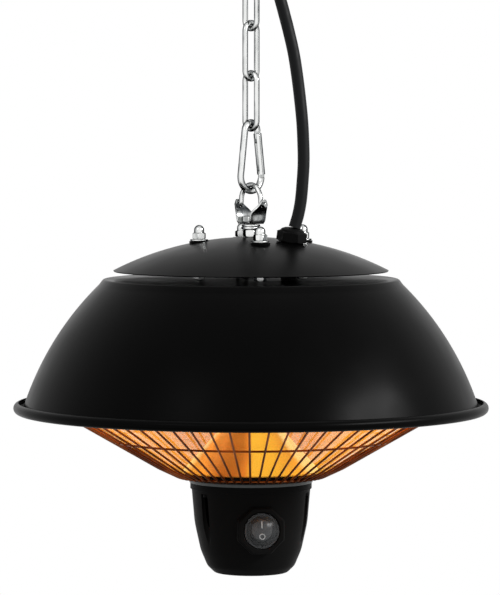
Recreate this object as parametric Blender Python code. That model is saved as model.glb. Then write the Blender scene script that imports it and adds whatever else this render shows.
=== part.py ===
"""Hanging patio heater on a chain, as separate pieces.

Metres, +Z up. The origin is the centre of the ceiling plate's top face, and everything hangs
below it. The front, with the switch, faces -Y. The chain hangs in two upright planes at right
angles, one through the direction link_way and one through the direction swing_way.
"""

from math import asin, atan2, ceil, cos, pi, radians, sin, sqrt, tan

import bmesh
import bpy
from mathutils import Matrix, Vector

# Clearances and fineness
touch = 0.0003
loose = 0.0005
overrun = 0.004
weld = 0.000005
large_steps = 32
medium_steps = 24
small_steps = 12

# Directions, as angles from the front towards +X
link_turn = radians(35)
gland_turn = radians(45)
screw_turns = [radians(-62), radians(62), radians(180)]
bolt_turns = [radians(0), radians(90), radians(180), radians(270)]
wire_turn = radians(1.5)

# Ceiling fitting
plate_radius = 0.045
plate_sheet = 0.003
plate_hole_radius = 0.0023
plate_hole_circle = 0.034
boss_radius = 0.0075
boss_height = 0.014
hook_wire = 0.003
hook_bowl = 0.009
hook_drop = 0.097
hook_neck = 0.016
hook_tip = 0.007
hook_bend = 0.007
socket_offset = 0.025
socket_radius = 0.009
socket_height = 0.017
socket_nose = 0.0065

# Chain
link_wire = 0.0025
link_pitch = 0.050
link_bend = 0.00725

# Snap hook
snap_wire = 0.003
snap_pitch = 0.061
snap_top_bend = 0.00775
snap_low_bend = 0.01295
snap_tail = 0.0075
snap_nose = 0.003
tongue_half = 0.0013
tongue_length = 0.0062
gate_radius = 0.0036
gate_slot_half = 0.0017
gate_slot_length = 0.0085
gate_over = 0.0022
gate_pin_radius = 0.0011
gate_pin_hole = 0.0013

# Hanger
bail_wire = 0.0022
bail_half_width = 0.0122
bail_rise = 0.0143
bail_leg = 0.0035
bail_bend = 0.0029
bail_end = 0.0190
strap_sheet = 0.0018
strap_base_half = 0.0072
strap_width = 0.0188
strap_rise = 0.0212
strap_spread = 0.0094
ear_hole_rise = 0.0166
ear_hole_radius = 0.0026
hanger_bolt_radius = 0.0039
hanger_bolt_flats = 0.013
hanger_head = 0.0053
hanger_bolt_tail = 0.024
hanger_washer_radius = 0.0082
hanger_washer_sheet = 0.0016
spring_washer_radius = 0.0088
spring_washer_sheet = 0.0022
hanger_nut = 0.0065

# Top cap
cap_radius = 0.1232
cap_rise = 0.0298
cap_sheet = 0.001
seat_radius = 0.0088
seat_rise = 0.0009
seat_depth = 0.0022

# Four long bolts up through the reflector, the shade and the cap
stud_circle = 0.047
stud_radius = 0.0029
stud_hole = 0.0033
stud_head_flats = 0.010
stud_head = 0.0042
stud_top = 0.0085
acorn_flats = 0.011
acorn_hex = 0.0052
acorn_dome_radius = 0.0045
acorn_dome = 0.0073
washer_radius = 0.008
washer_sheet = 0.0012
stud_nut_flats = 0.010
stud_nut = 0.005

# Cable gland and cables
gland_circle = 0.0433
gland_flats = 0.0232
gland_hex = 0.0094
gland_dome = 0.0125
gland_mouth = 0.0072
gland_thread = 0.0078
gland_thread_length = 0.0115
gland_lock_flats = 0.022
gland_lock = 0.004
cable_radius = 0.0050
cable_straight = 0.0045
lead_radius = 0.0038
grommet_radius = 0.0078
grommet_neck = 0.0062
grommet_bore = 0.0044
lead_share = 0.85
lead_low_share = 0.35
grommet_rim = 0.0017

# Shade
air_gap = 0.0076
shade_sheet = 0.001
shade_shoulder = 0.1339
shade_shoulder_bend = 0.003
shade_depth = 0.1151
wall_bend = 0.270
lip_centre_radius = 0.2079
lip_bend = 0.0048
lip_start = radians(199)
lip_end = radians(445)

# Reflector, tube and lamp inside the shade
reflector_sheet = 0.001
reflector_drop = 0.068
roof_radius = 0.128
flange_inside = 0.0085
flange_outside = 0.0055
flange_rise = 0.0006
tube_radius = 0.011
tube_wall = 0.0015
tube_top = 0.009
tube_nut_flats = 0.027
tube_nut = 0.006
tube_tail = 0.0085
lamp_circle = 0.110
lamp_radius = 0.0055
lamp_drop = 0.029
lamp_gap = radians(24)
holder_half = 0.008
holder_gap = 0.0013
holder_below = 0.0085

# Wire guard
guard_wire = 0.001
guard_hoop_wire = 0.0011
guard_count = 60
guard_ring_radius = 0.1725
guard_knee_outside = 0.0153
guard_knee_drop = 0.0527
guard_hoop_inside = 0.0027
guard_hoop_drop = 0.0612
guard_end_radius = 0.0518
guard_middle_radius = 0.127
weld_step = 0.0014

# Glass, cone and base under the lamp
glass_sheet = 0.003
glass_gap = 0.0025
glass_low_inside = 0.0001
base_radius = 0.0687
base_sheet = 0.0022
base_over_hoop = 0.0052
cone_inside = 0.0063
cone_rise = 0.0493
cone_sheet = 0.0011

# Collar and control housing
collar_radius = 0.0553
collar_neck = 0.0511
collar_inner = 0.045
collar_lid = 0.003
collar_under_hoop = 0.0016
collar_band = 0.0036
housing_rim_radius = 0.0545
housing_rim = 0.005
housing_rim_slope = 0.0006
housing_top_radius = 0.0532
housing_middle_radius = 0.0506
housing_middle_rise = 0.0451
housing_middle_bend = 0.090
housing_low_radius = 0.0452
housing_low_rise = 0.0206
housing_low_bend = 0.040
housing_foot_radius = 0.0393
housing_foot_rise = 0.0066
housing_foot_bend = 0.010
housing_floor_radius = 0.0325
housing_floor_bend = 0.005
housing_depth = 0.081
housing_wall = 0.0028
housing_floor_dish = 0.0015
column_circle = 0.0441
column_radius = 0.0065
column_length = 0.041
recess_circle = 0.0514
recess_radius = 0.0046
recess_drop = 0.0077
screw_circle = 0.0502
screw_radius = 0.0016
screw_head_radius = 0.0029
screw_head = 0.0024
screw_reach = 0.0028

# Power switch on the front of the housing
switch_drop = 0.0379
pad_flats = 0.042
pad_front = 0.0530
pad_back = 0.040
switch_hole = 0.0146
switch_radius = 0.0142
switch_back = 0.030
switch_flange_radius = 0.0156
switch_flange = 0.0015
bezel_flats = 0.040
bezel_bore = 0.0162
bezel_height = 0.003
pocket_radius = 0.0106
pocket_depth = 0.0075
rocker_radius = 0.0093
rocker_half = 0.0031
rocker_sunk = 0.001
rocker_crown = 0.0008
rocker_front = 0.0038
rocker_tilt = radians(12)
boot_dome_radius = 0.0136
boot_dome = 0.0062
boot_sheet = 0.0008
boot_rim = 0.0012


def from_front(turn):
    """Level direction at an angle from the front towards +X."""
    return Vector((sin(turn), -cos(turn), 0))


up = Vector((0, 0, 1))
link_way = from_front(link_turn)
swing_way = up.cross(link_way)

# Heights, from the ceiling down
hook_low = -hook_drop
pivot_hook = hook_low + hook_wire + link_wire + touch
pivot_link_2 = pivot_hook - link_pitch
link_2_top = pivot_link_2 + 2 * link_wire + touch
link_2_low = link_2_top - link_pitch
pivot_link_3 = link_2_low + 2 * link_wire + touch
pivot_snap = pivot_link_3 - link_pitch
snap_top = pivot_snap + link_wire + snap_wire + touch
snap_low = snap_top - snap_pitch
pivot_bail = snap_low + snap_wire + bail_wire + touch
bail_centre = pivot_bail - bail_rise
ear_hole = bail_centre - bail_leg
strap_middle = ear_hole - ear_hole_rise
strap_under = strap_middle - strap_sheet / 2
head_under = strap_middle + strap_sheet / 2 + touch
washer_top = strap_under - touch
spring_top = washer_top - hanger_washer_sheet - touch
nut_top = spring_top - spring_washer_sheet - touch
cap_top = nut_top - hanger_nut - touch
cap_edge = cap_top - cap_rise
shade_top = cap_edge - air_gap
lip_centre = shade_top - shade_depth
roof_top = shade_top - reflector_drop
roof_under = roof_top - reflector_sheet
flange_under = lip_centre + flange_rise
flange_radius = guard_ring_radius + flange_outside
reflector_mouth = guard_ring_radius - flange_inside
guard_ring_height = flange_under - touch - guard_hoop_wire
guard_hoop = guard_ring_height - guard_hoop_drop
base_top = guard_hoop + base_over_hoop
base_under = base_top - base_sheet
guard_knee_radius = base_radius + guard_knee_outside
guard_hoop_radius = base_radius - guard_hoop_inside
glass_low_radius = base_radius - glass_low_inside
cone_radius = glass_low_radius - cone_inside
collar_top = base_under - touch
shoulder_top = guard_hoop - collar_under_hoop
collar_under = shoulder_top - collar_band
housing_top = collar_under - touch
switch_height = housing_top - switch_drop
lamp_height = roof_under - lamp_drop

# The cap is part of a sphere
cap_bend = (cap_radius**2 + cap_rise**2) / (2 * cap_rise)


def cap_height(radius, bend=cap_bend):
    """Height of the cap's dome at a distance from the middle."""
    return cap_top - cap_bend + sqrt(bend**2 - radius**2)


seat_height = cap_height(stud_circle) + seat_rise
gland_slope = asin(gland_circle / cap_bend)
gland_axis = Matrix.Rotation(gland_slope, 3, up.cross(from_front(gland_turn))) @ up
gland_foot = from_front(gland_turn) * gland_circle + up * cap_height(gland_circle)


def clear_scene():
    for thing in list(bpy.data.objects):
        bpy.data.objects.remove(thing)


def finish(name, colour, roughness, metallic=0.0, glow=0.0, clear=0.0):
    """One Principled material, with its colour in linear values."""
    made = bpy.data.materials.new(name)
    made.use_nodes = True
    shader = made.node_tree.nodes["Principled BSDF"]
    shader.inputs["Base Color"].default_value = (*colour, 1.0)
    shader.inputs["Roughness"].default_value = roughness
    shader.inputs["Metallic"].default_value = metallic
    shader.inputs["Transmission Weight"].default_value = clear
    shader.inputs["Emission Color"].default_value = (*colour, 1.0)
    shader.inputs["Emission Strength"].default_value = glow
    made.diffuse_color = (*colour, 1.0)
    return made


def finishes():
    return {
        "zinc": finish("zinc_plate", (0.60, 0.60, 0.58), 0.30, 1.0),
        "black": finish("satin_black_enamel", (0.012, 0.012, 0.012), 0.42),
        "moulding": finish("black_moulding", (0.010, 0.010, 0.010), 0.48),
        "collar": finish("grey_collar_paint", (0.045, 0.050, 0.050), 0.45),
        "rubber": finish("black_rubber", (0.011, 0.011, 0.011), 0.62),
        "bright": finish("polished_aluminium", (0.83, 0.80, 0.74), 0.14, 1.0),
        "guard": finish("heat_tinted_wire", (0.10, 0.045, 0.012), 0.40, 0.8),
        "glass": finish("amber_glass", (0.95, 0.42, 0.09), 0.08, 0.0, 0.6, 0.85),
        "lamp": finish("lamp_quartz", (1.0, 0.55, 0.16), 0.15, 0.0, 4.0),
        "ceramic": finish("white_ceramic", (0.75, 0.73, 0.68), 0.60),
        "rocker": finish("grey_rocker", (0.055, 0.055, 0.055), 0.45),
        "boot": finish("clear_boot", (0.85, 0.86, 0.86), 0.15, 0.0, 0.0, 0.9),
    }


def add(name, data):
    made = bpy.data.objects.new(name, data)
    bpy.context.scene.collection.objects.link(made)
    return made


def keep(shape, name):
    """Turns a bmesh into an object, with its faces pointing out and its round sides smooth."""
    bmesh.ops.recalc_face_normals(shape, faces=shape.faces)
    mesh = bpy.data.meshes.new(name)
    shape.to_mesh(mesh)
    shape.free()
    mesh.shade_smooth()
    mesh.set_sharp_from_angle(angle=radians(40))
    return add(name, mesh)


def arc(centre, radius, start, end, steps):
    """Points of an arc in a plane, from one angle to another."""
    across, along = centre
    turns = [start + (end - start) * step / steps for step in range(steps + 1)]
    return [(across + radius * cos(turn), along + radius * sin(turn)) for turn in turns]


def rounded(corners, steps=4):
    """An outline through corners given as (across, height, bend), with each bend an arc."""
    points = []
    for place, (across, height, bend) in enumerate(corners):
        corner = Vector((across, height))
        if not bend or place in (0, len(corners) - 1):
            points.append(tuple(corner))
            continue
        back = (Vector(corners[place - 1][:2]) - corner).normalized()
        ahead = (Vector(corners[place + 1][:2]) - corner).normalized()
        half = back.angle(ahead) / 2
        middle = corner + (back + ahead).normalized() * bend / sin(half)
        first = corner + back * bend / tan(half) - middle
        last = corner + ahead * bend / tan(half) - middle
        start = atan2(first.y, first.x)
        sweep = (atan2(last.y, last.x) - start + pi) % (2 * pi) - pi
        points += arc(middle, bend, start, start + sweep, steps)
    return points


def turned(name, outline, steps=large_steps):
    """A solid turned about the vertical. An outline that starts on the axis also ends on it."""
    shape = bmesh.new()
    points = [shape.verts.new((radius, 0, height)) for radius, height in outline]
    edges = [shape.edges.new(pair) for pair in zip(points, points[1:])]
    if outline[0][0] > weld:
        edges.append(shape.edges.new((points[-1], points[0])))
    bmesh.ops.spin(
        shape, geom=points + edges, axis=up, cent=Vector(), angle=2 * pi, steps=steps, use_merge=True
    )
    bmesh.ops.remove_doubles(shape, verts=shape.verts, dist=weld)
    return keep(shape, name)


def rod(name, radius, start, end, sides=small_steps):
    """A round bar from one point to another."""
    shape = bmesh.new()
    way = end - start
    place = Matrix.Translation((start + end) / 2) @ way.to_track_quat("Z", "Y").to_matrix().to_4x4()
    bmesh.ops.create_cone(
        shape,
        cap_ends=True,
        segments=sides,
        radius1=radius,
        radius2=radius,
        depth=way.length,
        matrix=place,
    )
    return keep(shape, name)


def block(name, middle, halves, ways):
    """A box about a middle point, with its half sizes along three directions."""
    shape = bmesh.new()
    bmesh.ops.create_cube(shape, size=2)
    sides = Matrix([way * half for way, half in zip(ways, halves)]).transposed().to_4x4()
    bmesh.ops.transform(shape, matrix=Matrix.Translation(middle) @ sides, verts=shape.verts)
    return keep(shape, name)


def flat_sided(sides, across_flats, points):
    """Points of a regular outline at even angles, with the middle of a flat at the first."""
    part = 2 * pi / sides
    outline = []
    for step in range(points):
        turn = 2 * pi * step / points
        off = (turn + part / 2) % part - part / 2
        reach = across_flats / 2 / cos(off)
        outline.append((reach * cos(turn), reach * sin(turn)))
    return outline


def nut(name, across_flats, bore, low, high, sides=6):
    """A flat-sided ring about the vertical, such as a nut, between two heights."""
    count = 2 * sides
    outer = flat_sided(sides, across_flats, count)
    corner = bore / cos(pi / count)
    inner = [(corner * cos(2 * pi * step / count), corner * sin(2 * pi * step / count)) for step in range(count)]
    shape = bmesh.new()
    loops = []
    for outline, height in ((outer, low), (outer, high), (inner, high), (inner, low)):
        loops.append([shape.verts.new((x, y, height)) for x, y in outline])
    for loop, following in zip(loops, loops[1:] + loops[:1]):
        for step in range(count):
            after = (step + 1) % count
            shape.faces.new((loop[step], loop[after], following[after], following[step]))
    return keep(shape, name)


def ring(name, outer, inner, low, high, steps=medium_steps):
    return turned(name, [(inner, high), (outer, high), (outer, low), (inner, low)], steps)


def wire(name, route, radius, closed=False, roundness=2):
    """A round wire along a route, as a curve with a bevel and closed ends."""
    curve = bpy.data.curves.new(name, "CURVE")
    curve.dimensions = "3D"
    curve.bevel_depth = radius
    curve.bevel_resolution = roundness
    curve.use_fill_caps = True
    spline = curve.splines.new("POLY")
    spline.points.add(len(route) - 1)
    for point, place in zip(spline.points, route):
        point.co = (*place, 1)
    spline.use_cyclic_u = closed
    spline.use_smooth = True
    return add(name, curve)


def as_mesh(made):
    """The object again, with its curve or its modifiers made into plain faces."""
    graph = bpy.context.evaluated_depsgraph_get()
    mesh = bpy.data.meshes.new_from_object(made.evaluated_get(graph))
    name = made.name
    place = made.matrix_world.copy()
    bpy.data.objects.remove(made)
    plain = add(name, mesh)
    plain.matrix_world = place
    shape = bmesh.new()
    shape.from_mesh(mesh)
    bmesh.ops.remove_doubles(shape, verts=shape.verts, dist=weld)
    shape.to_mesh(mesh)
    shape.free()
    return plain


def combine(body, tool, operation):
    """Joins a tool to the body, or cuts with it, and puts the tool away."""
    change = body.modifiers.new(operation.title(), "BOOLEAN")
    change.operation = operation
    change.solver = "EXACT"
    change.object = tool
    graph = bpy.context.evaluated_depsgraph_get()
    mesh = bpy.data.meshes.new_from_object(body.evaluated_get(graph))
    body.modifiers.clear()
    body.data = mesh
    bpy.data.objects.remove(tool)
    return body


def gathered(name, pieces):
    """Several separate solids in one object, for use as one tool."""
    shape = bmesh.new()
    for piece in pieces:
        copy = piece.data.copy()
        copy.transform(piece.matrix_world)
        shape.from_mesh(copy)
        bpy.data.meshes.remove(copy)
        bpy.data.objects.remove(piece)
    return keep(shape, name)


def smooth_route(places, steps):
    """Points on a smooth curve through hand-chosen places, with even steps between them."""
    ends = [2 * places[0] - places[1], *places, 2 * places[-1] - places[-2]]
    points = []
    for before, start, end, after in zip(ends, ends[1:], ends[2:], ends[3:]):
        for step in range(steps):
            t = step / steps
            points.append(
                (
                    2 * start
                    + (end - before) * t
                    + (2 * before - 5 * start + 4 * end - after) * t**2
                    + (3 * start - before - 3 * end + after) * t**3
                )
                / 2
            )
    return points + [places[-1]]


def beside(way, outline, height=0.0):
    """Points in the upright plane through a level direction."""
    return [way * across + up * (along + height) for across, along in outline]


def tilted(made, foot, axis):
    """Stands a piece that was made about the vertical on a foot point, along an axis."""
    made.matrix_world = Matrix.Translation(foot) @ up.rotation_difference(axis).to_matrix().to_4x4()
    bpy.context.view_layer.update()
    return made


def dressed(made, material):
    made.data.materials.clear()
    made.data.materials.append(material)
    return made


def ceiling_plate():
    outline = rounded(
        [
            (0, 0, 0),
            (plate_radius, 0, 0),
            (plate_radius, -plate_sheet, plate_sheet / 2),
            (boss_radius, -plate_sheet, 0),
            (boss_radius, -plate_sheet - boss_height, plate_sheet / 2),
            (0, -plate_sheet - boss_height, 0),
        ],
        2,
    )
    plate = turned("ceiling_plate", outline, medium_steps)
    low = -plate_sheet - boss_height - overrun
    cuts = [rod("hook_bore", hook_wire + touch, up * low, up * -plate_sheet)]
    for side in (-1, 1):
        middle = swing_way * side * plate_hole_circle
        cuts.append(rod("screw_hole", plate_hole_radius, middle + up * low, middle + up * overrun))
    return combine(plate, gathered("plate_cuts", cuts), "DIFFERENCE")


def ceiling_hook():
    """A straight shank that bends to one side, round the bowl and up again to a short tip."""
    bowl_height = hook_low + hook_bowl
    shank = rounded(
        [
            (0, -plate_sheet - touch, 0),
            (0, bowl_height + hook_neck, hook_bend),
            (-hook_bowl, bowl_height + hook_neck / 3, hook_bend),
            (-hook_bowl, bowl_height, 0),
        ],
        3,
    )
    bowl = arc((0, bowl_height), hook_bowl, pi, 2 * pi, 8)
    tip = [(hook_bowl, bowl_height + hook_tip)]
    return wire("ceiling_hook", beside(swing_way, shank[:-1] + bowl + tip), hook_wire)


def ceiling_socket():
    """The cord grip under the plate that the power cable goes up into."""
    high = -plate_sheet - touch
    outline = rounded(
        [
            (0, high, 0),
            (socket_radius, high, 0),
            (socket_radius, high - socket_height / 2, 0),
            (socket_nose, high - socket_height, socket_nose / 4),
            (0, high - socket_height, 0),
        ],
        2,
    )
    socket = turned("ceiling_cable_socket", outline, 2 * small_steps)
    return tilted(socket, link_way * socket_offset, up)


def chain_link(name, top, way):
    upper = arc((0, top - link_bend), link_bend, 0, pi, 8)
    lower = arc((0, top - link_pitch + link_bend), link_bend, pi, 2 * pi, 8)
    return wire(name, beside(way, upper + lower), link_wire, closed=True)


def snap_line():
    """Foot, direction and length of the straight side that the gate closes, in the hook's plane."""
    apart = snap_pitch - snap_top_bend - snap_low_bend
    lean = asin((snap_low_bend - snap_top_bend) / apart)
    middle = snap_top - snap_top_bend
    start = Vector((snap_top_bend * cos(lean), middle + snap_top_bend * sin(lean)))
    return start, Vector((sin(lean), -cos(lean))), apart * cos(lean), lean


def snap_point(along, aside=0.0):
    """A place on the gate's side of the snap hook, at a distance from its upper end."""
    start, way, _, _ = snap_line()
    spot = start + way * along
    return swing_way * spot.x + up * spot.y + link_way * aside


def tongue_cuts(along, length):
    """The two boxes that leave a flat tongue on the hook's wire about a place on the gate's side."""
    _, way, _, _ = snap_line()
    down = swing_way * way.x + up * way.y
    across = link_way.cross(down)
    cuts = []
    for side in (-1, 1):
        middle = snap_point(along, side * (tongue_half + snap_wire))
        halves = (snap_wire, length / 2, 2 * snap_wire)
        cuts.append(block("tongue_cut", middle, halves, (link_way, down, across)))
    return cuts


def carabiner_body():
    """A pear-shaped hook of round wire, with a flat tongue at each end for the gate."""
    _, way, length, lean = snap_line()
    top_middle = snap_top - snap_top_bend
    low_middle = snap_low + snap_low_bend
    tail = Vector((snap_top_bend * cos(lean), top_middle + snap_top_bend * sin(lean))) + way * snap_tail
    nose = Vector((snap_low_bend * cos(lean), low_middle + snap_low_bend * sin(lean))) - way * snap_nose
    route = [tuple(tail)]
    route += arc((0, top_middle), snap_top_bend, lean, pi - lean, 9)
    route += arc((0, low_middle), snap_low_bend, pi - lean, 2 * pi + lean, 12)
    route.append(tuple(nose))
    body = as_mesh(wire("carabiner_body", beside(swing_way, route), snap_wire))
    cuts = tongue_cuts(snap_tail, 2 * tongue_length)
    cuts += tongue_cuts(length - snap_nose, 2 * tongue_length)
    body = combine(body, gathered("tongues", cuts), "DIFFERENCE")
    pin = snap_tail - gate_over
    hole = rod("pin_hole", gate_pin_hole, snap_point(pin, -overrun), snap_point(pin, overrun))
    return combine(body, hole, "DIFFERENCE")


def carabiner_gate():
    """A round bar with a slot at each end, hung on its pin at the upper one."""
    _, way, length, _ = snap_line()
    down = swing_way * way.x + up * way.y
    across = link_way.cross(down)
    pin = snap_tail - gate_over
    start = pin - gate_over
    end = length - snap_nose + tongue_length / 2
    bar = rod("carabiner_gate", gate_radius, snap_point(start), snap_point(end), 16)
    cuts = []
    for place in (start, end):
        middle = snap_point(place)
        halves = (gate_slot_half, gate_slot_length, 2 * gate_radius)
        cuts.append(block("slot", middle, halves, (link_way, down, across)))
    cuts.append(rod("pin_hole", gate_pin_hole, snap_point(pin, -overrun), snap_point(pin, overrun)))
    for cut in cuts:
        bar = combine(bar, cut, "DIFFERENCE")
    return bar


def gate_pin():
    pin = snap_tail - gate_over
    return rod("gate_pin", gate_pin_radius, snap_point(pin, -gate_radius), snap_point(pin, gate_radius), 8)


def hanger_bail():
    """A thin round bow whose ends turn outward through the ears of the strap."""
    bow = []
    for step in range(11):
        turn = pi * step / 10
        bow.append((bail_half_width * cos(turn), bail_centre + bail_rise * sin(turn)))
    side = rounded(
        [
            (bail_half_width, bail_centre, 0),
            (bail_half_width, ear_hole, bail_bend),
            (bail_end, ear_hole, 0),
        ],
        3,
    )
    right = side[:0:-1]
    left = [(-across, along) for across, along in side[1:]]
    return wire("hanger_bail", beside(link_way, right + bow + left), bail_wire)


def hanger_strap():
    """A flat strap bent up at both sides into two ears, shaped like petals."""
    rise_shares = (0.0, 0.13, 0.44, 0.75, 1.0)
    spread_shares = (0.0, 0.07, 0.24, 0.90, 1.0)
    width_shares = (0.61, 0.82, 1.0, 0.64, 0.27)
    side = [
        (strap_base_half + strap_spread * spread, strap_middle + strap_rise * rise)
        for spread, rise in zip(spread_shares, rise_shares)
    ]
    path = [Vector((-across, height)) for across, height in reversed(side)]
    path += [Vector(place) for place in side]
    widths = [share * strap_width for share in width_shares[::-1] + width_shares]
    shape = bmesh.new()
    loops = []
    for place, (spot, width) in enumerate(zip(path, widths)):
        ahead = path[min(place + 1, len(path) - 1)] - path[max(place - 1, 0)]
        normal = Vector((-ahead.y, ahead.x)).normalized() * strap_sheet / 2
        corners = []
        for side_sign, sheet_sign in ((-1, -1), (1, -1), (1, 1), (-1, 1)):
            face = spot + normal * sheet_sign
            corners.append(link_way * face.x + up * face.y + swing_way * width / 2 * side_sign)
        loops.append([shape.verts.new(corner) for corner in corners])
    for loop, following in zip(loops, loops[1:]):
        for step in range(4):
            after = (step + 1) % 4
            shape.faces.new((loop[step], loop[after], following[after], following[step]))
    shape.faces.new(loops[0])
    shape.faces.new(loops[-1])
    strap = keep(shape, "hanger_strap")
    reach = link_way * (bail_end + overrun)
    cuts = [
        rod("ear_holes", ear_hole_radius, up * ear_hole - reach, up * ear_hole + reach),
        rod(
            "bolt_hole",
            hanger_bolt_radius + touch,
            up * (strap_middle - overrun),
            up * (strap_middle + overrun),
        ),
    ]
    for cut in cuts:
        strap = combine(strap, cut, "DIFFERENCE")
    return strap


def hanger_bolt():
    """A hexagon head above the strap, and a shank down through the cap."""
    low = cap_top - hanger_bolt_tail
    half = hanger_bolt_flats / 2 / cos(pi / 6)
    head = turned(
        "hanger_bolt",
        [(0, head_under + hanger_head), (half, head_under + hanger_head), (half, head_under), (0, head_under)],
        6,
    )
    head.data.transform(Matrix.Rotation(link_turn, 4, "Z"))
    shank = rod("shank", hanger_bolt_radius, up * low, up * (head_under + hanger_head / 2))
    return combine(head, shank, "UNION")


def top_cap():
    """A shallow dome of thin sheet, with a flat seat pressed in at each bolt."""
    bore = hanger_bolt_radius + touch
    start = asin(bore / cap_bend)
    end = asin(cap_radius / cap_bend)
    middle = cap_top - cap_bend
    outer = arc((0, middle), cap_bend, pi / 2 - start, pi / 2 - end, 6)
    inner = arc((0, middle), cap_bend - cap_sheet, pi / 2 - end, pi / 2 - start, 6)
    cap = turned("top_cap", outer + inner)
    seats, cuts = [], []
    for turn in bolt_turns:
        foot = from_front(turn) * stud_circle + up * seat_height
        seats.append(rod("seat", seat_radius, foot - up * seat_depth, foot))
        cuts.append(rod("seat_top", seat_radius, foot, foot + up * overrun))
    cap = combine(cap, gathered("seats", seats), "UNION")
    cap = combine(cap, gathered("seat_tops", cuts), "DIFFERENCE")
    holes = []
    for turn in bolt_turns:
        foot = from_front(turn) * stud_circle + up * seat_height
        holes.append(rod("hole", stud_hole, foot - up * 2 * overrun, foot + up * overrun))
    reach = gland_axis * 2 * overrun
    holes.append(rod("gland_hole", gland_thread + touch, gland_foot - reach, gland_foot + reach, 16))
    return combine(cap, gathered("holes", holes), "DIFFERENCE")


def acorn_mesh():
    """A hexagon nut with a round dome and a blind bore, about the vertical from height zero."""
    body = nut("acorn", acorn_flats, stud_hole, 0, acorn_hex)
    straight = acorn_dome - acorn_dome_radius
    low = acorn_hex / 2
    high = acorn_hex + straight
    dome = arc((0, high), acorn_dome_radius, 0, pi / 2, 3)
    bore_top = stud_top + touch
    outline = [(stud_hole, low), (acorn_dome_radius, low)] + dome[:-1]
    outline += [(0, acorn_hex + acorn_dome)]
    outline += [(0, bore_top), (stud_hole, bore_top)]
    outline = outline[-3::-1] + outline[-1:-3:-1]
    top = turned("dome", outline, small_steps)
    return combine(body, top, "UNION").data


def bolt_set(number, turn, acorn, look):
    """One long bolt from under the reflector, with its acorn nut, washer and middle nut."""
    spot = from_front(turn) * stud_circle
    washer_low = seat_height + touch
    acorn_low = washer_low + washer_sheet + touch
    cap_nut = add(f"acorn_nut_{number}", acorn)
    cap_nut.location = spot + up * acorn_low
    washer = ring(f"cap_washer_{number}", washer_radius, stud_hole, 0, washer_sheet, small_steps)
    washer.location = spot + up * washer_low
    high = roof_under - touch
    half = stud_head_flats / 2 / cos(pi / 6)
    head = [(0, high), (half, high), (half, high - stud_head), (0, high - stud_head)]
    bolt = turned(f"long_bolt_{number}", head, 6)
    top = acorn_low + stud_top
    bolt = combine(bolt, rod("shank", stud_radius, up * (high - stud_head / 2), up * top, 8), "UNION")
    bolt.location = spot
    middle_nut = nut(f"middle_nut_{number}", stud_nut_flats, stud_hole, 0, stud_nut)
    middle_nut.location = spot + up * (shade_top + touch)
    return [dressed(piece, look["zinc"]) for piece in (cap_nut, washer, bolt, middle_nut)]


def gland_nut():
    """A hexagon dome nut: a turned dome cut to six sides."""
    corner = gland_flats / 2 / cos(pi / 6)
    crown = rounded(
        [
            (0, gland_dome, 0),
            (gland_mouth, gland_dome, 0),
            (gland_flats / 2, gland_hex + (gland_dome - gland_hex) / 2, gland_mouth / 2),
            (corner, gland_hex - (gland_dome - gland_hex) / 2, 0),
            (corner, 0, 0),
            (0, 0, 0),
        ],
        3,
    )
    dome = turned("gland_nut", crown, 2 * small_steps)
    sides = flat_sided(6, gland_flats, 6)
    shape = bmesh.new()
    for height in (-overrun, gland_dome + overrun):
        loop = [shape.verts.new((x / cos(pi / 6), y / cos(pi / 6), height)) for x, y in sides]
        shape.faces.new(loop)
    shape.verts.ensure_lookup_table()
    for step in range(6):
        after = (step + 1) % 6
        corners = (step, after, after + 6, step + 6)
        shape.faces.new([shape.verts[corner_place] for corner_place in corners])
    hexagon = keep(shape, "gland_hexagon")
    made = combine(dome, hexagon, "INTERSECT")
    return tilted(made, gland_foot + gland_axis * touch, gland_axis)


def gland_body():
    foot = gland_foot
    return rod("gland_body", gland_thread, foot - gland_axis * gland_thread_length, foot, 16)


def gland_lock_nut():
    corner = gland_lock_flats / 2 / cos(pi / 6)
    sag = corner**2 / (2 * (cap_bend - cap_sheet))
    high = -cap_sheet - sag - touch
    made = nut("gland_lock_nut", gland_lock_flats, gland_thread + touch, high - gland_lock, high)
    return tilted(made, gland_foot, gland_axis)


def cable_route():
    """The power cable's places, from the gland up beside the chain to the ceiling socket."""
    start = gland_foot + gland_axis * (gland_dome + 2 * touch)
    end = link_way * socket_offset - up * (plate_sheet + socket_height + 2 * touch)
    return [
        start,
        start + gland_axis * cable_straight,
        start + gland_axis * cable_straight * 2,
        Vector((0.0388, -0.0321, -0.2940)),
        Vector((0.0408, -0.0320, -0.2770)),
        Vector((0.0418, -0.0317, -0.2600)),
        Vector((0.0416, -0.0311, -0.2420)),
        Vector((0.0408, -0.0304, -0.2240)),
        Vector((0.0391, -0.0294, -0.2050)),
        Vector((0.0368, -0.0285, -0.1850)),
        Vector((0.0337, -0.0274, -0.1640)),
        Vector((0.0294, -0.0260, -0.1440)),
        Vector((0.0244, -0.0246, -0.1240)),
        Vector((0.0198, -0.0231, -0.1060)),
        Vector((0.0168, -0.0219, -0.0880)),
        Vector((0.0152, -0.0211, -0.0680)),
        Vector((0.0146, -0.0206, -0.0500)),
        end - up * cable_straight * 2,
        end - up * cable_straight,
        end,
    ]


def inner_route():
    """The lead's places: out of the gland, through the shade's grommet and down the tube."""
    start = gland_foot - gland_axis * (gland_thread_length + 2 * touch)
    grommet = grommet_spot() + up * shade_top
    rim = up * (grommet_rim + shade_sheet)
    aside = grommet_spot()
    drop = up * reflector_drop
    return [
        start,
        (start + grommet) / 2,
        grommet + rim,
        grommet - rim,
        grommet - rim * 3,
        up * shade_top + aside * lead_share - drop * lead_low_share,
        up * shade_top + aside * (1 - lead_share) - drop * lead_low_share * 2,
        up * (roof_top + tube_top),
        up * (roof_top - reflector_drop / 2),
        up * (base_top + cone_rise / 2),
        up * (housing_top - tube_tail - overrun),
    ]


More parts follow.
